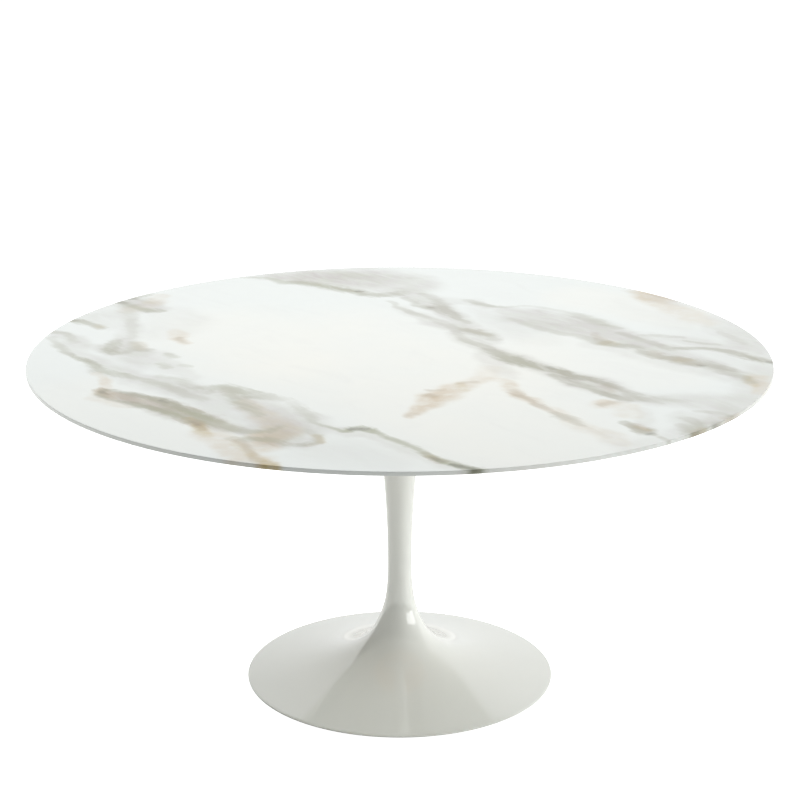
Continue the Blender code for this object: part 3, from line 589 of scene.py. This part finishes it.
def plywood_material():
    """Birch plywood: crossed plies that show as stripes on the edge, grain on the flat faces."""
    shader = Shader("birch_plywood")
    ply = shader.times(shader.less(shader.axis("Z"), BOARD_LOW[2]), 1.0 / PLY_THICKNESS)
    crossed = shader.ramp(shader.math("PINGPONG", ply, 1.0), 0.46, 0.54)
    along_x = shader.noise(1.0, 6.0, 0.62, shader.mapped((9.0, 150.0, 60.0)), 0.6)
    along_y = shader.noise(1.0, 6.0, 0.62, shader.mapped((150.0, 9.0, 60.0)), 0.6)
    grain = shader.add(along_x, shader.times(shader.less(along_y, along_x), crossed))
    figure = shader.noise(1.0, 3.0, 0.5, shader.mapped((1.6, 14.0, 9.0)), 1.4)
    colour = shader.mix(shader.ramp(grain, 0.30, 0.72), (0.400, 0.262, 0.140), (0.590, 0.430, 0.262))
    colour = shader.mix(shader.ramp(figure, 0.45, 0.75, 0.0, 0.45), colour, (0.345, 0.205, 0.098))
    colour = shader.mix(shader.times(crossed, 0.30), colour, (0.300, 0.180, 0.090))
    shader.bump(grain, 0.35, 0.0004)
    return shader.finish(Base_Color=colour, Roughness=shader.ramp(grain, 0.3, 0.7, 0.52, 0.70))


def aluminium_material():
    """Sand-cast aluminium: fine pitted skin with dull patches."""
    shader = Shader("cast_aluminium_skin")
    skin = shader.noise(520.0, 3.0, 0.6)
    pits = shader.noise(1400.0, 2.0, 0.5)
    stain = shader.noise(18.0, 5.0, 0.6)
    colour = shader.mix(shader.ramp(stain, 0.35, 0.70), (0.520, 0.530, 0.540), (0.400, 0.405, 0.410))
    colour = shader.mix(shader.ramp(pits, 0.62, 0.74, 0.0, 0.55), colour, (0.180, 0.180, 0.180))
    shader.bump(shader.add(skin, shader.times(pits, 0.4)), 0.45, 0.0003)
    return shader.finish(Base_Color=colour, Roughness=shader.ramp(skin, 0.3, 0.7, 0.42, 0.60), Metallic=1.0)


def zinc_material():
    """Zinc-plated steel: cool bright metal with cloudy dulling and fine tool lines."""
    shader = Shader("zinc_plated_steel")
    cloud = shader.noise(70.0, 4.0, 0.6)
    lines = shader.noise(1.0, 2.0, 0.5, shader.mapped((300.0, 300.0, 4200.0)))
    colour = shader.mix(shader.ramp(cloud, 0.35, 0.65), (0.620, 0.640, 0.670), (0.480, 0.490, 0.500))
    colour = shader.mix(shader.ramp(cloud, 0.60, 0.85, 0.0, 0.35), colour, (0.560, 0.510, 0.380))
    rough = shader.add(shader.ramp(cloud, 0.3, 0.7, 0.22, 0.38), shader.times(lines, 0.08))
    shader.bump(lines, 0.12, 0.0001)
    return shader.finish(Base_Color=colour, Roughness=rough, Metallic=1.0)


def brass_material():
    """Machined brass, a little tarnished."""
    shader = Shader("machined_brass")
    tarnish = shader.noise(160.0, 4.0, 0.6)
    lines = shader.noise(1.0, 2.0, 0.5, shader.mapped((400.0, 400.0, 5200.0)))
    colour = shader.mix(shader.ramp(tarnish, 0.35, 0.70), (0.760, 0.570, 0.270), (0.460, 0.310, 0.130))
    rough = shader.ramp(tarnish, 0.3, 0.7, 0.24, 0.45)
    shader.bump(lines, 0.15, 0.0001)
    return shader.finish(Base_Color=colour, Roughness=rough, Metallic=1.0)


def rubber_material():
    """Dark glide ring: matt, with floor dust in its pores."""
    shader = Shader("glide_ring_rubber")
    pores = shader.noise(900.0, 3.0, 0.6)
    dust = shader.noise(60.0, 5.0, 0.65)
    dusty = shader.ramp(dust, 0.45, 0.80, 0.0, 0.60)
    colour = shader.mix(dusty, (0.030, 0.030, 0.031), (0.170, 0.165, 0.155))
    shader.bump(pores, 0.4, 0.0002)
    return shader.finish(Base_Color=colour, Roughness=shader.ramp(pores, 0.3, 0.7, 0.66, 0.84))


def stage_material(name, colour, glow, glow_behind=None):
    """Plain pale ground: a diffuse white with a little light of its own, more of it behind the table."""
    shader = Shader(name)
    tone = shader.noise(0.8, 2.0, 0.5)
    tinted = shader.mix(tone, colour, tuple(0.99 * part for part in colour))
    strength = glow
    if glow_behind is not None:
        strength = shader.ramp(shader.axis("Y"), 0.3, 1.6, glow, glow_behind)
    return shader.finish(Base_Color=tinted, Roughness=0.9, Specular_IOR_Level=0.0,
                         Emission_Color=(1.0, 1.0, 1.0), Emission_Strength=strength)


# ---------------------------------------------------------------- meshes
def link_piece(name, mesh, materials, node=None):
    piece = bpy.data.objects.new(name, mesh)
    bpy.context.scene.collection.objects.link(piece)
    for material in materials:
        mesh.materials.append(material)
    if node:
        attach(piece, "root")
        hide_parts(node)
    return piece


def smooth_by_angle(mesh, sharp):
    mesh.shade_smooth()
    mesh.set_sharp_from_angle(angle=math.radians(sharp))
    return mesh


def fix_normals(mesh):
    builder = bmesh.new()
    builder.from_mesh(mesh)
    bmesh.ops.recalc_face_normals(builder, faces=builder.faces)
    builder.to_mesh(mesh)
    builder.free()
    return mesh


def mesh_from(builder, name):
    mesh = bpy.data.meshes.new(name)
    builder.to_mesh(mesh)
    builder.free()
    return mesh


def polar(radius, angle):
    return radius * math.cos(angle), radius * math.sin(angle)


def disc_rings(radius, rings):
    """Points of a flat disc: ring k carries 6k points, so the spacing is even everywhere."""
    points = [(0.0, 0.0)]
    for ring in range(1, rings + 1):
        for step in range(6 * ring):
            points.append(polar(radius * ring / rings, math.tau * step / (6 * ring)))
    return points


def ring_start(ring):
    return 0 if ring == 0 else 1 + 3 * ring * (ring - 1)


def disc_faces(rings, first, flip):
    """Triangles of such a disc whose points start at index first."""
    faces = []
    for ring in range(1, rings + 1):
        inner, outer = first + ring_start(ring - 1), first + ring_start(ring)
        inner_count, outer_count = max(6 * (ring - 1), 1), 6 * ring
        for sector in range(6):
            for step in range(ring):
                a = outer + (sector * ring + step) % outer_count
                b = outer + (sector * ring + step + 1) % outer_count
                c = inner + (sector * (ring - 1) + step) % inner_count
                faces.append((a, b, c))
                if step < ring - 1:
                    d = inner + (sector * (ring - 1) + step + 1) % inner_count
                    faces.append((b, d, c))
    return [tuple(reversed(face)) for face in faces] if flip else faces


def rounded(radius, height, reach, degrees):
    """Points of a small arc round (radius, height), one at each angle in degrees."""
    return [(radius + x, height + y) for x, y in (polar(reach, math.radians(turn)) for turn in degrees)]


def edge_profile():
    """(radius, height) from the face's border down the eased rim and along the long bevel."""
    inset = TOP_RADIUS - RIM_ARRIS
    points = rounded(inset, TOP_FACE - RIM_ARRIS, RIM_ARRIS, (90.0, 67.5, 45.0, 22.5, 0.0))
    for share in (0.25, 0.5, 0.75):
        points.append((TOP_RADIUS, TOP_FACE - RIM_ARRIS - share * (RIM_LAND - 2 * RIM_ARRIS)))
    points += rounded(inset, TOP_FACE - RIM_LAND + RIM_ARRIS, RIM_ARRIS, (0.0, -20.0, -40.0, -60.0, -80.0))
    (radius, height), steps = points[-1], 8
    for step in range(1, steps + 1):
        share = step / steps
        points.append((
            radius + (TOP_RADIUS - BEVEL_WIDTH - radius) * share,
            height + (TOP_UNDER - height) * share,
        ))
    return points


def build_marble_top():
    face_points = disc_rings(TOP_RADIUS - RIM_ARRIS, FACE_RINGS)
    vertices = [(x, y, TOP_FACE) for x, y in face_points]
    faces = disc_faces(FACE_RINGS, 0, False)
    count = 6 * FACE_RINGS
    before = ring_start(FACE_RINGS)
    for radius, height in edge_profile()[1:]:
        start = len(vertices)
        vertices += [(*polar(radius, math.tau * step / count), height) for step in range(count)]
        for step in range(count):
            after = (step + 1) % count
            faces.append((before + step, start + step, start + after, before + after))
        before = start
    polished_faces = len(faces)

    # the underside is a coarser disc, so each of its border edges meets three of the bevel's
    under_start = len(vertices)
    under_radius = TOP_RADIUS - BEVEL_WIDTH - 0.004
    vertices += [(x, y, TOP_UNDER) for x, y in disc_rings(under_radius, UNDER_RINGS)]
    faces += disc_faces(UNDER_RINGS, under_start, True)
    border = under_start + ring_start(UNDER_RINGS)
    ratio = FACE_RINGS // UNDER_RINGS
    for step in range(6 * UNDER_RINGS):
        inner, inner_next = border + step, border + (step + 1) % (6 * UNDER_RINGS)
        outer = [before + (ratio * step + part) % count for part in range(ratio + 1)]
        faces.append((outer[0], inner, outer[1]))
        faces.append((outer[1], inner, inner_next, outer[2]))
        faces.append((outer[2], inner_next, outer[3]))

    mesh = bpy.data.meshes.new("marble_top_slab")
    mesh.from_pydata(vertices, [], faces)
    plan = np.array([(x, y) for x, y, _ in vertices])
    for name, values in marble_fields(plan[:, 0].copy(), plan[:, 1].copy()).items():
        layer = mesh.attributes.new(name, "FLOAT", "POINT")
        layer.data.foreach_set("value", values.astype(np.float32))
    smooth_by_angle(mesh, 9.0)
    materials = [marble_material("marble_polished", True), marble_material("marble_honed", False)]
    link_piece("marble_top_slab", mesh, materials, "marble_top")
    underside = np.zeros(len(mesh.polygons), np.int32)
    underside[polished_faces:] = 1
    mesh.polygons.foreach_set("material_index", underside)


# ---------------------------------------------------------------- turned and drilled pieces
def bezier_points(start, start_handle, end_handle, end, count):
    corners = [Vector((radius, 0.0, height)) for radius, height in (start, start_handle, end_handle, end)]
    return [(point.x, point.z) for point in interpolate_bezier(*corners, count)]


def turned(name, profile, segments, relief=None, closed=True, sharp=34.0, centre=(0.0, 0.0)):
    """Revolve (radius, height) points; relief(radius, height, angle) may change a radius.

    A closed profile is a ring's section. An open one starts and ends on the axis, at radius 0.
    """
    vertices, faces, rows = [], [], []
    for radius, height in profile:
        if radius == 0.0:
            rows.append([len(vertices)] * segments)
            vertices.append((centre[0], centre[1], height))
            continue
        rows.append([len(vertices) + step for step in range(segments)])
        for step in range(segments):
            angle = math.tau * step / segments
            x, y = polar(relief(radius, height, angle) if relief else radius, angle)
            vertices.append((centre[0] + x, centre[1] + y, height))
    for row, following in zip(rows, rows[1:] + (rows[:1] if closed else [])):
        for step in range(segments):
            after = (step + 1) % segments
            corners = (row[step], row[after], following[after], following[step])
            faces.append(tuple(dict.fromkeys(corners)))
    mesh = bpy.data.meshes.new(name)
    mesh.from_pydata(vertices, [], faces)
    return smooth_by_angle(fix_normals(mesh), sharp)


def turned_piece(node, ending, material, slot, profile, segments, **turning):
    name = f"{node}_{ending}"
    link_piece(name, turned(name, profile, segments, **turning), [material], node)


def pegs(centres, radius, bottom, top, segments=32):
    """Upright pegs that a Boolean takes away."""
    builder = bmesh.new()
    for x, y in centres:
        place = Matrix.Translation((x, y, 0.5 * (bottom + top)))
        bmesh.ops.create_cone(builder, cap_ends=True, segments=segments, radius1=radius, radius2=radius,
                              depth=top - bottom, matrix=place)
    return mesh_from(builder, "form")


def carve(mesh, steps, edge=0.0, sharp=34.0):
    """The mesh after Boolean steps (operation, form) and an eased edge."""
    body = link_piece("body", mesh, [])
    forms = []
    for operation, form_mesh in steps:
        forms.append(link_piece("form", form_mesh, []))
        modifier = body.modifiers.new("carve", "BOOLEAN")
        modifier.operation = operation
        modifier.solver = "EXACT"
        modifier.object = forms[-1]
    if edge:
        modifier = body.modifiers.new("ease", "BEVEL")
        modifier.width = edge
        modifier.segments = 2
        modifier.limit_method = "ANGLE"
        modifier.angle_limit = math.radians(40.0)
    bpy.context.view_layer.update()
    graph = bpy.context.evaluated_depsgraph_get()
    carved = bpy.data.meshes.new_from_object(body.evaluated_get(graph))
    for helper in [body, *forms]:
        bpy.data.objects.remove(helper)
    carved.name = mesh.name + "_carved"
    return smooth_by_angle(carved, sharp)


def middle(node):
    """(x, y) of a node's box centre, its low z and its high z."""
    low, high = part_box(node)
    return (0.5 * (low[0] + high[0]), 0.5 * (low[1] + high[1])), low[2], high[2]


def centres(stem, count):
    return [middle(f"{stem}_{number}")[0] for number in range(1, count + 1)]


def hexagon(across_flats, angle):
    """Radius at an angle of a hexagon."""
    within = (angle + math.pi / 6.0) % (math.pi / 3.0) - math.pi / 6.0
    return 0.5 * across_flats / math.cos(math.pi / 6.0 - abs(within))


def thread(crest, pitch, depth, spans):
    """Relief that cuts a helical V groove where the radius is the crest and z is in a span."""
    def relief(radius, height, angle):
        inside = any(low < height < high for low, high in spans)
        if radius != crest or not inside:
            return radius
        phase = (height / pitch + angle / math.tau) % 1.0
        return radius - depth * abs(2.0 * phase - 1.0)
    return relief


def thread_rows(radius, start, end, pitch):
    """Six rows a turn, which is what the groove needs to show."""
    count = max(2, int(round(abs(end - start) / pitch * 6)))
    return [(radius, start + (end - start) * step / count) for step in range(count + 1)]


def build_pedestal():
    """The outline runs up the outside from the foot's lip, then down the bore to the ring's groove."""
    foot_radius, land, stem_top = PEDESTAL_HIGH[0], PEDESTAL_LOW[2], PEDESTAL_HIGH[2]
    waist = (WAIST_RADIUS, WAIST_HEIGHT)
    lip = 0.0016
    rim = []
    for step in range(7):
        turn = math.radians(-90.0 + 24.5 * step)
        rim.append((foot_radius - lip + lip * math.cos(turn), land + 0.0018 + 0.0017 * math.sin(turn)))
    foot = bezier_points((foot_radius - 0.0014, 0.0056), (0.1616, 0.0296), (0.0799, 0.0544), NECK, 112)
    throat = bezier_points(NECK, (0.0350, 0.1497), (WAIST_RADIUS, 0.1714), waist, 44)
    flare_top = (STEM_TOP_RADIUS, stem_top - 0.003)
    flare = bezier_points(waist, (WAIST_RADIUS, 0.3919), (0.0386, 0.5289), flare_top, 30)
    crown = [(STEM_TOP_RADIUS - 0.0008, stem_top - 0.0008), (STEM_TOP_RADIUS - 0.003, stem_top)]
    web_under = stem_top - WEB_THICKNESS
    bore_top, bore_handle = (0.0530, web_under - 0.004), (0.0305, 0.5150)
    inner_flare = bezier_points(bore_top, bore_handle, (BORE_RADIUS, 0.3850), (BORE_RADIUS, 0.250), 14)
    inner_foot = bezier_points((0.0400, 0.1120), (0.0600, 0.0440), (0.1800, 0.0180), (0.2860, 0.0028), 26)
    gap = 0.0003
    groove_in, groove_out, groove_top = 0.3017, RING_OUTER + gap, RING_TOP + gap
    inside = [
        (SPIGOT_HOLE, stem_top),
        (SPIGOT_HOLE, web_under),
        (0.0490, web_under),
        *inner_flare,
        (BORE_RADIUS, SEAT_HEIGHT),
        (SEAT_RADIUS, SEAT_HEIGHT),
        *inner_foot,
        (0.2875, land),
        (groove_in, land),
        (groove_in, groove_top),
        (groove_out, groove_top),
        (groove_out, land),
    ]
    mesh = turned("pedestal_casting", rim + foot + throat[1:] + flare[1:] + crown + inside, TURN_SEGMENTS)
    dowel_holes = pegs(centres("dowel", 2), DOWEL_HOLE, stem_top - 0.010, stem_top + 0.004)
    mesh = carve(mesh, [("DIFFERENCE", dowel_holes)])
    return link_piece("pedestal_casting", mesh, [enamel_material()], "pedestal")


# ---------------------------------------------------------------- the top's underside
def build_backing_board():
    _, under, top = middle("backing_board")
    radius, chamfer = BOARD_HIGH[0], 0.006
    profile = [
        (0.0, top),
        (radius - 0.0004, top),
        (radius, top - 0.0004),
        (radius, under + chamfer + 0.0006),
        (radius - 0.0004, under + chamfer - 0.0002),
        (radius - chamfer + 0.0002, under + 0.0004),
        (radius - chamfer - 0.0006, under),
        (0.0, under),
    ]
    mesh = turned("backing_board_ply", profile, 192, closed=False)
    insert_top = middle("threaded_insert_1")[2]
    pockets = pegs(centres("spider_screw", 8), INSERT_POCKET, under - 0.004, insert_top + 0.0012, 40)
    mesh = carve(mesh, [("DIFFERENCE", pockets)])
    link_piece("backing_board_ply", mesh, [plywood_material()], "backing_board")


def spider_outline():
    """Hub circle with four tapered arms that end in half circles."""
    root, tip = 0.027, 0.018
    root_angle = math.asin(root / HUB_RADIUS)
    gap = 0.5 * math.pi - 2.0 * root_angle
    local = [(SPIDER_REACH - tip + x, y) for x, y in
             (polar(tip, math.radians(-90.0 + 7.5 * step)) for step in range(25))]
    local += [polar(HUB_RADIUS, root_angle + gap * step / 12) for step in range(13)]
    outline = []
    for arm in range(4):
        cos, sin = math.cos(0.5 * math.pi * arm), math.sin(0.5 * math.pi * arm)
        outline += [(x * cos - y * sin, x * sin + y * cos) for x, y in local]
    return outline


def build_spider():
    _, spigot_bottom, top = middle("table_spider")
    arm_under, hub_under = top - ARM_THICKNESS, top - HUB_THICKNESS
    hub_side = HUB_RADIUS - 0.002
    builder = bmesh.new()
    outline = spider_outline()
    lower = [builder.verts.new((x, y, arm_under)) for x, y in outline]
    upper = [builder.verts.new((x, y, top)) for x, y in outline]
    builder.faces.new(lower)
    builder.faces.new(list(reversed(upper)))
    for index in range(len(outline)):
        after = (index + 1) % len(outline)
        builder.faces.new((lower[index], upper[index], upper[after], lower[after]))
    plate = mesh_from(builder, "table_spider_cast")
    hub = turned("form", [
        (0.0, top - 0.002),
        (hub_side, top - 0.002),
        (hub_side, hub_under + 0.003),
        (hub_side - 0.001, hub_under + 0.001),
        (hub_side - 0.003, hub_under),
        (SPIGOT_RADIUS, hub_under),
        (SPIGOT_RADIUS, spigot_bottom + 0.002),
        (SPIGOT_RADIUS - 0.002, spigot_bottom),
        (0.0, spigot_bottom),
    ], 96, closed=False)
    mesh = carve(fix_normals(plate), [
        ("UNION", hub),
        ("DIFFERENCE", pegs(centres("spider_screw", 8), SCREW_HOLE, arm_under - 0.01, top + 0.01)),
        ("DIFFERENCE", pegs([(0.0, 0.0)], ROD_HOLE, spigot_bottom - 0.01, top - 0.006, 48)),
        ("DIFFERENCE", pegs(centres("dowel", 2), DOWEL_HOLE, hub_under - 0.004, hub_under + 0.010)),
    ], edge=0.0007, sharp=38.0)
    link_piece("table_spider_cast", mesh, [aluminium_material()], "table_spider")


def build_floor_ring():
    inner, outer, top = 0.302, RING_OUTER, RING_TOP
    section = [(outer, 0.0012), (outer, top - 0.0003), (outer - 0.0003, top), (inner + 0.0003, top),
               (inner, top - 0.0003), (inner, 0.0012), (inner + 0.0004, 0.0004), (inner + 0.0012, 0.0),
               (outer - 0.0012, 0.0), (outer - 0.0004, 0.0004)]
    turned_piece("floor_ring", "glide", rubber_material(), "ring_rubber", section, TURN_SEGMENTS)


# ---------------------------------------------------------------- fixings
def build_tie_rod(zinc):
    _, bottom, top = middle("tie_rod")
    crest, pitch = 0.0080, 0.002
    lower_end, upper_start = bottom + 0.070, top - 0.026
    profile = [(0.0, top), (crest - 0.0016, top), (crest - 0.0004, top - 0.0012)]
    profile += thread_rows(crest, top - 0.0016, upper_start, pitch)
    profile += thread_rows(crest, lower_end, bottom + 0.0016, pitch)
    profile += [(crest - 0.0004, bottom + 0.0012), (crest - 0.0016, bottom), (0.0, bottom)]
    spans = [(bottom + 0.0015, lower_end - 0.0001), (upper_start + 0.0001, top - 0.0015)]
    turned_piece("tie_rod", "threaded", zinc, "zinc_steel", profile, 48,
                 relief=thread(crest, pitch, 0.0011, spans), closed=False, sharp=60.0)


def build_nut(node, zinc):
    _, bottom, top = middle(node)
    across, bore, ease = 0.024, 0.0084, 0.0008
    corner = across / math.sqrt(3.0)
    face_radius, chamfer = 0.475 * across, 0.0013
    crown = [(face_radius + (corner - face_radius) * share, chamfer * share)
             for share in (0.0, 0.25, 0.5, 0.75, 1.0)]
    section = [(bore, top - ease), (bore + ease, top)]
    section += [(radius, top - drop) for radius, drop in crown]
    section += [(radius, bottom + rise) for radius, rise in reversed(crown)]
    section += [(bore + ease, bottom), (bore, bottom + ease)]

    def relief(radius, height, angle):
        return min(radius, hexagon(across, angle)) if radius > 0.011 else radius

    turned_piece(node, "hex", zinc, "zinc_steel", section, 72, relief=relief, sharp=24.0)


def build_screw(node, zinc):
    centre, low, high = middle(node)
    crest, pitch, head_radius, socket = 0.0030, 0.001, 0.0055, 0.0020
    neck = low + 0.0034
    profile = [(0.0, high), (0.0021, high), (0.0026, high - 0.0005)]
    profile += thread_rows(crest, high - 0.0008, neck + 0.0010, pitch)
    profile += [(0.0031, neck), (0.0052, neck), (head_radius, neck - 0.0003)]
    profile += [(head_radius, low + 0.0007), (0.0053, low + 0.0002), (0.0049, low)]
    profile += [(0.0025, low), (socket, low + 0.0002), (socket, low + 0.0018), (0.0011, low + 0.0020),
                (0.0, low + 0.0022)]
    groove = thread(crest, pitch, 0.0005, [(neck + 0.0011, high - 0.0007)])

    def relief(radius, height, angle):
        return hexagon(2.0 * socket, angle) if radius == socket else groove(radius, height, angle)

    turned_piece(node, "socket_head", zinc, "zinc_steel", profile, 36,
                 relief=relief, closed=False, sharp=40.0, centre=centre)


def build_spider_washer(node, zinc):
    centre, low, high = middle(node)
    outer, inner, ease = 0.0070, 0.0034, 0.0003
    section = [(outer, high - ease), (outer - ease, high), (inner + ease, high), (inner, high - ease),
               (inner, low + ease), (inner + ease, low), (outer - ease, low), (outer, low + ease)]
    turned_piece(node, "flat", zinc, "zinc_steel", section, 48, centre=centre)


def build_insert(node, brass):
    centre, low, high = middle(node)
    crest, bore, pitch = 0.0058, 0.0034, 0.0025
    section = [(bore, high), (crest - 0.0014, high), (crest - 0.0008, high - 0.0006)]
    section += thread_rows(crest, high - 0.0010, low + 0.0016, pitch)
    section += [(crest, low + 0.0002), (crest - 0.0002, low), (bore + 0.0003, low), (bore, low + 0.0003)]
    relief = thread(crest, pitch, 0.0009, [(low + 0.0017, high)])
    turned_piece(node, "brass", brass, "brass", section, 40, relief=relief, sharp=50.0, centre=centre)


def build_dowel(node, zinc):
    centre, low, high = middle(node)
    radius = 0.0037
    end = [(0.0, 0.0), (radius - 0.0010, 0.0), (radius - 0.0003, 0.0004), (radius, 0.0012)]
    profile = [(reach, high - depth) for reach, depth in end]
    profile += [(reach, low + depth) for reach, depth in reversed(end)]
    turned_piece(node, "pin", zinc, "zinc_steel", profile, 40, closed=False, centre=centre)


def build_clamp_plate(zinc):
    _, low, high = middle("clamp_plate")
    outer, inner, ease = 0.034, 0.0088, 0.0006
    section = [(outer, high - ease), (outer - ease, high), (inner, high), (inner, low),
               (outer - ease, low), (outer, low + ease)]
    turned_piece("clamp_plate", "round", zinc, "zinc_steel", section, 128)


def build_spring_washer(zinc):
    """Split ring whose ends step past each other."""
    _, low, high = middle("spring_washer")
    outer, inner, rise, ease, steps = 0.0135, 0.0084, 0.0006, 0.0003, 96
    thick = high - low - rise
    section = [(outer, ease - thick), (outer, -ease), (outer - ease, 0.0), (inner + ease, 0.0),
               (inner, -ease), (inner, ease - thick), (inner + ease, -thick), (outer - ease, -thick)]
    builder = bmesh.new()
    rings = []
    for step in range(steps + 1):
        share = step / steps
        top = high - rise * share
        ring = []
        for radius, drop in section:
            x, y = polar(radius, math.radians(8.0 + 344.0 * share) + 0.10 * drop / thick)
            ring.append(builder.verts.new((x, y, top + drop)))
        rings.append(ring)
    for before, after in zip(rings, rings[1:]):
        for side in range(8):
            following = (side + 1) % 8
            builder.faces.new((before[side], before[following], after[following], after[side]))
    builder.faces.new(rings[0])
    builder.faces.new(list(reversed(rings[-1])))
    mesh = smooth_by_angle(fix_normals(mesh_from(builder, "spring_washer_split")), 34.0)
    link_piece("spring_washer_split", mesh, [zinc], "spring_washer")


def build_fixings():
    zinc, brass = zinc_material(), brass_material()
    build_tie_rod(zinc)
    build_clamp_plate(zinc)
    build_spring_washer(zinc)
    build_nut("rod_nut", zinc)
    build_nut("lock_nut", zinc)
    for number in (1, 2):
        build_dowel(f"dowel_{number}", zinc)
    for number in range(1, 9):
        build_insert(f"threaded_insert_{number}", brass)
        build_screw(f"spider_screw_{number}", zinc)
        build_spider_washer(f"spider_washer_{number}", zinc)


# ---------------------------------------------------------------- studio
def ground(name, height, material):
    """A square sheet of floor, 80 m across."""
    reach = 40.0
    mesh = bpy.data.meshes.new(name)
    corners = [(-reach, -reach), (reach, -reach), (reach, reach), (-reach, reach)]
    mesh.from_pydata([(x, y, height) for x, y in corners], [], [(0, 1, 2, 3)])
    sheet = link_piece(name, mesh, [material])
    return sheet


def build_stage():
    """One floor for the camera alone, and a greyer one under it that the table reflects."""
    floor = ground("studio_floor", -0.0004, stage_material("studio_white", (0.90, 0.90, 0.90), 0.84))
    floor.visible_diffuse = False
    floor.visible_glossy = False
    floor.visible_shadow = False
    bounce = ground("bounce_floor", -0.002, stage_material("bounce_grey", (0.62, 0.62, 0.60), 0.38, 0.64))
    bounce.visible_camera = False


def add_softbox(name, place, target, size, power, mirrored=False, roll=0.0, lit_only=None):
    """Area light; only a mirrored one shows up as a reflection in the gloss."""
    light = bpy.data.lights.new(name, "AREA")
    light.shape = "RECTANGLE"
    light.size, light.size_y = size
    light.energy = power
    lamp = bpy.data.objects.new(name, light)
    bpy.context.scene.collection.objects.link(lamp)
    lamp.location = place
    aim = Vector(target) - Vector(place)
    facing = aim.to_track_quat("-Z", "Y") @ Quaternion((0.0, 0.0, 1.0), math.radians(roll))
    lamp.rotation_euler = facing.to_euler()
    lamp.visible_camera = False
    lamp.visible_glossy = mirrored
    if lit_only is not None:
        receivers = bpy.data.collections.new(name + "_receivers")
        receivers.objects.link(lit_only)
        lamp.light_linking.receiver_collection = receivers


def build_softboxes(casting):
    body = (0.0, 0.0, 0.4)
    add_softbox("overhead", (-0.2, 0.8, 3.3), (0.0, 0.1, 0.7), (2.6, 2.6), 57.0)
    add_softbox("right_side", (3.4, 0.0, 1.5), body, (2.4, 2.4), 40.0)
    add_softbox("window", (3.08, -1.25, 0.84), (0.0, 0.0, 0.13), (3.2, 0.66), 22.0,
                mirrored=True, roll=-12.0, lit_only=casting)
    add_softbox("right_front", (2.8, -2.2, 1.6), body, (2.0, 2.0), 33.0)
    add_softbox("left_side", (-3.4, 0.0, 1.5), body, (2.4, 2.4), 31.0)


def build_world():
    """White all round for the camera; for light, bright behind the table and dim in front."""
    world = bpy.data.worlds.new("studio_air")
    bpy.context.scene.world = world
    world.use_nodes = True
    world.node_tree.nodes.clear()
    air = NodeTree(world.node_tree)
    # how far a direction points behind the table
    behind = air.node("VectorMath")
    behind.operation = "DOT_PRODUCT"
    air.put(behind.inputs[0], air.node("TexCoord").outputs["Generated"])
    air.put(behind.inputs[1], (0.287, 0.958, 0.0))
    tone = air.mix(air.ramp(behind.outputs["Value"], 0.41, 0.53), (0.05, 0.05, 0.05), (0.985, 1.00, 1.00))
    chosen = air.node("MixShader", Fac=air.node("LightPath").outputs["Is Camera Ray"])
    air.put(chosen.inputs[1], air.node("Background", Color=tone, Strength=1.03).outputs[0])
    air.put(chosen.inputs[2], air.node("Background", Color=(1.0, 1.0, 1.0), Strength=1.05).outputs[0])
    air.node("OutputWorld", Surface=chosen.outputs[0])


def build_camera():
    lens = bpy.data.cameras.new("camera")
    lens.lens = 95.4
    lens.sensor_width = 36.0
    lens.shift_x = 0.00025
    lens.clip_end = 200.0
    camera = bpy.data.objects.new("camera", lens)
    camera.location = (0.0, -4.2165, 1.8984)
    camera.rotation_euler = (math.radians(73.067), 0.0, 0.0)
    bpy.context.scene.collection.objects.link(camera)
    bpy.context.scene.camera = camera


build_marble_top()
pedestal_casting = build_pedestal()
build_backing_board()
build_spider()
build_floor_ring()
build_fixings()

build_stage()
build_world()
build_camera()
build_softboxes(pedestal_casting)

bpy.context.scene.view_settings.view_transform = "Standard"
bpy.context.scene.view_settings.look = "None"
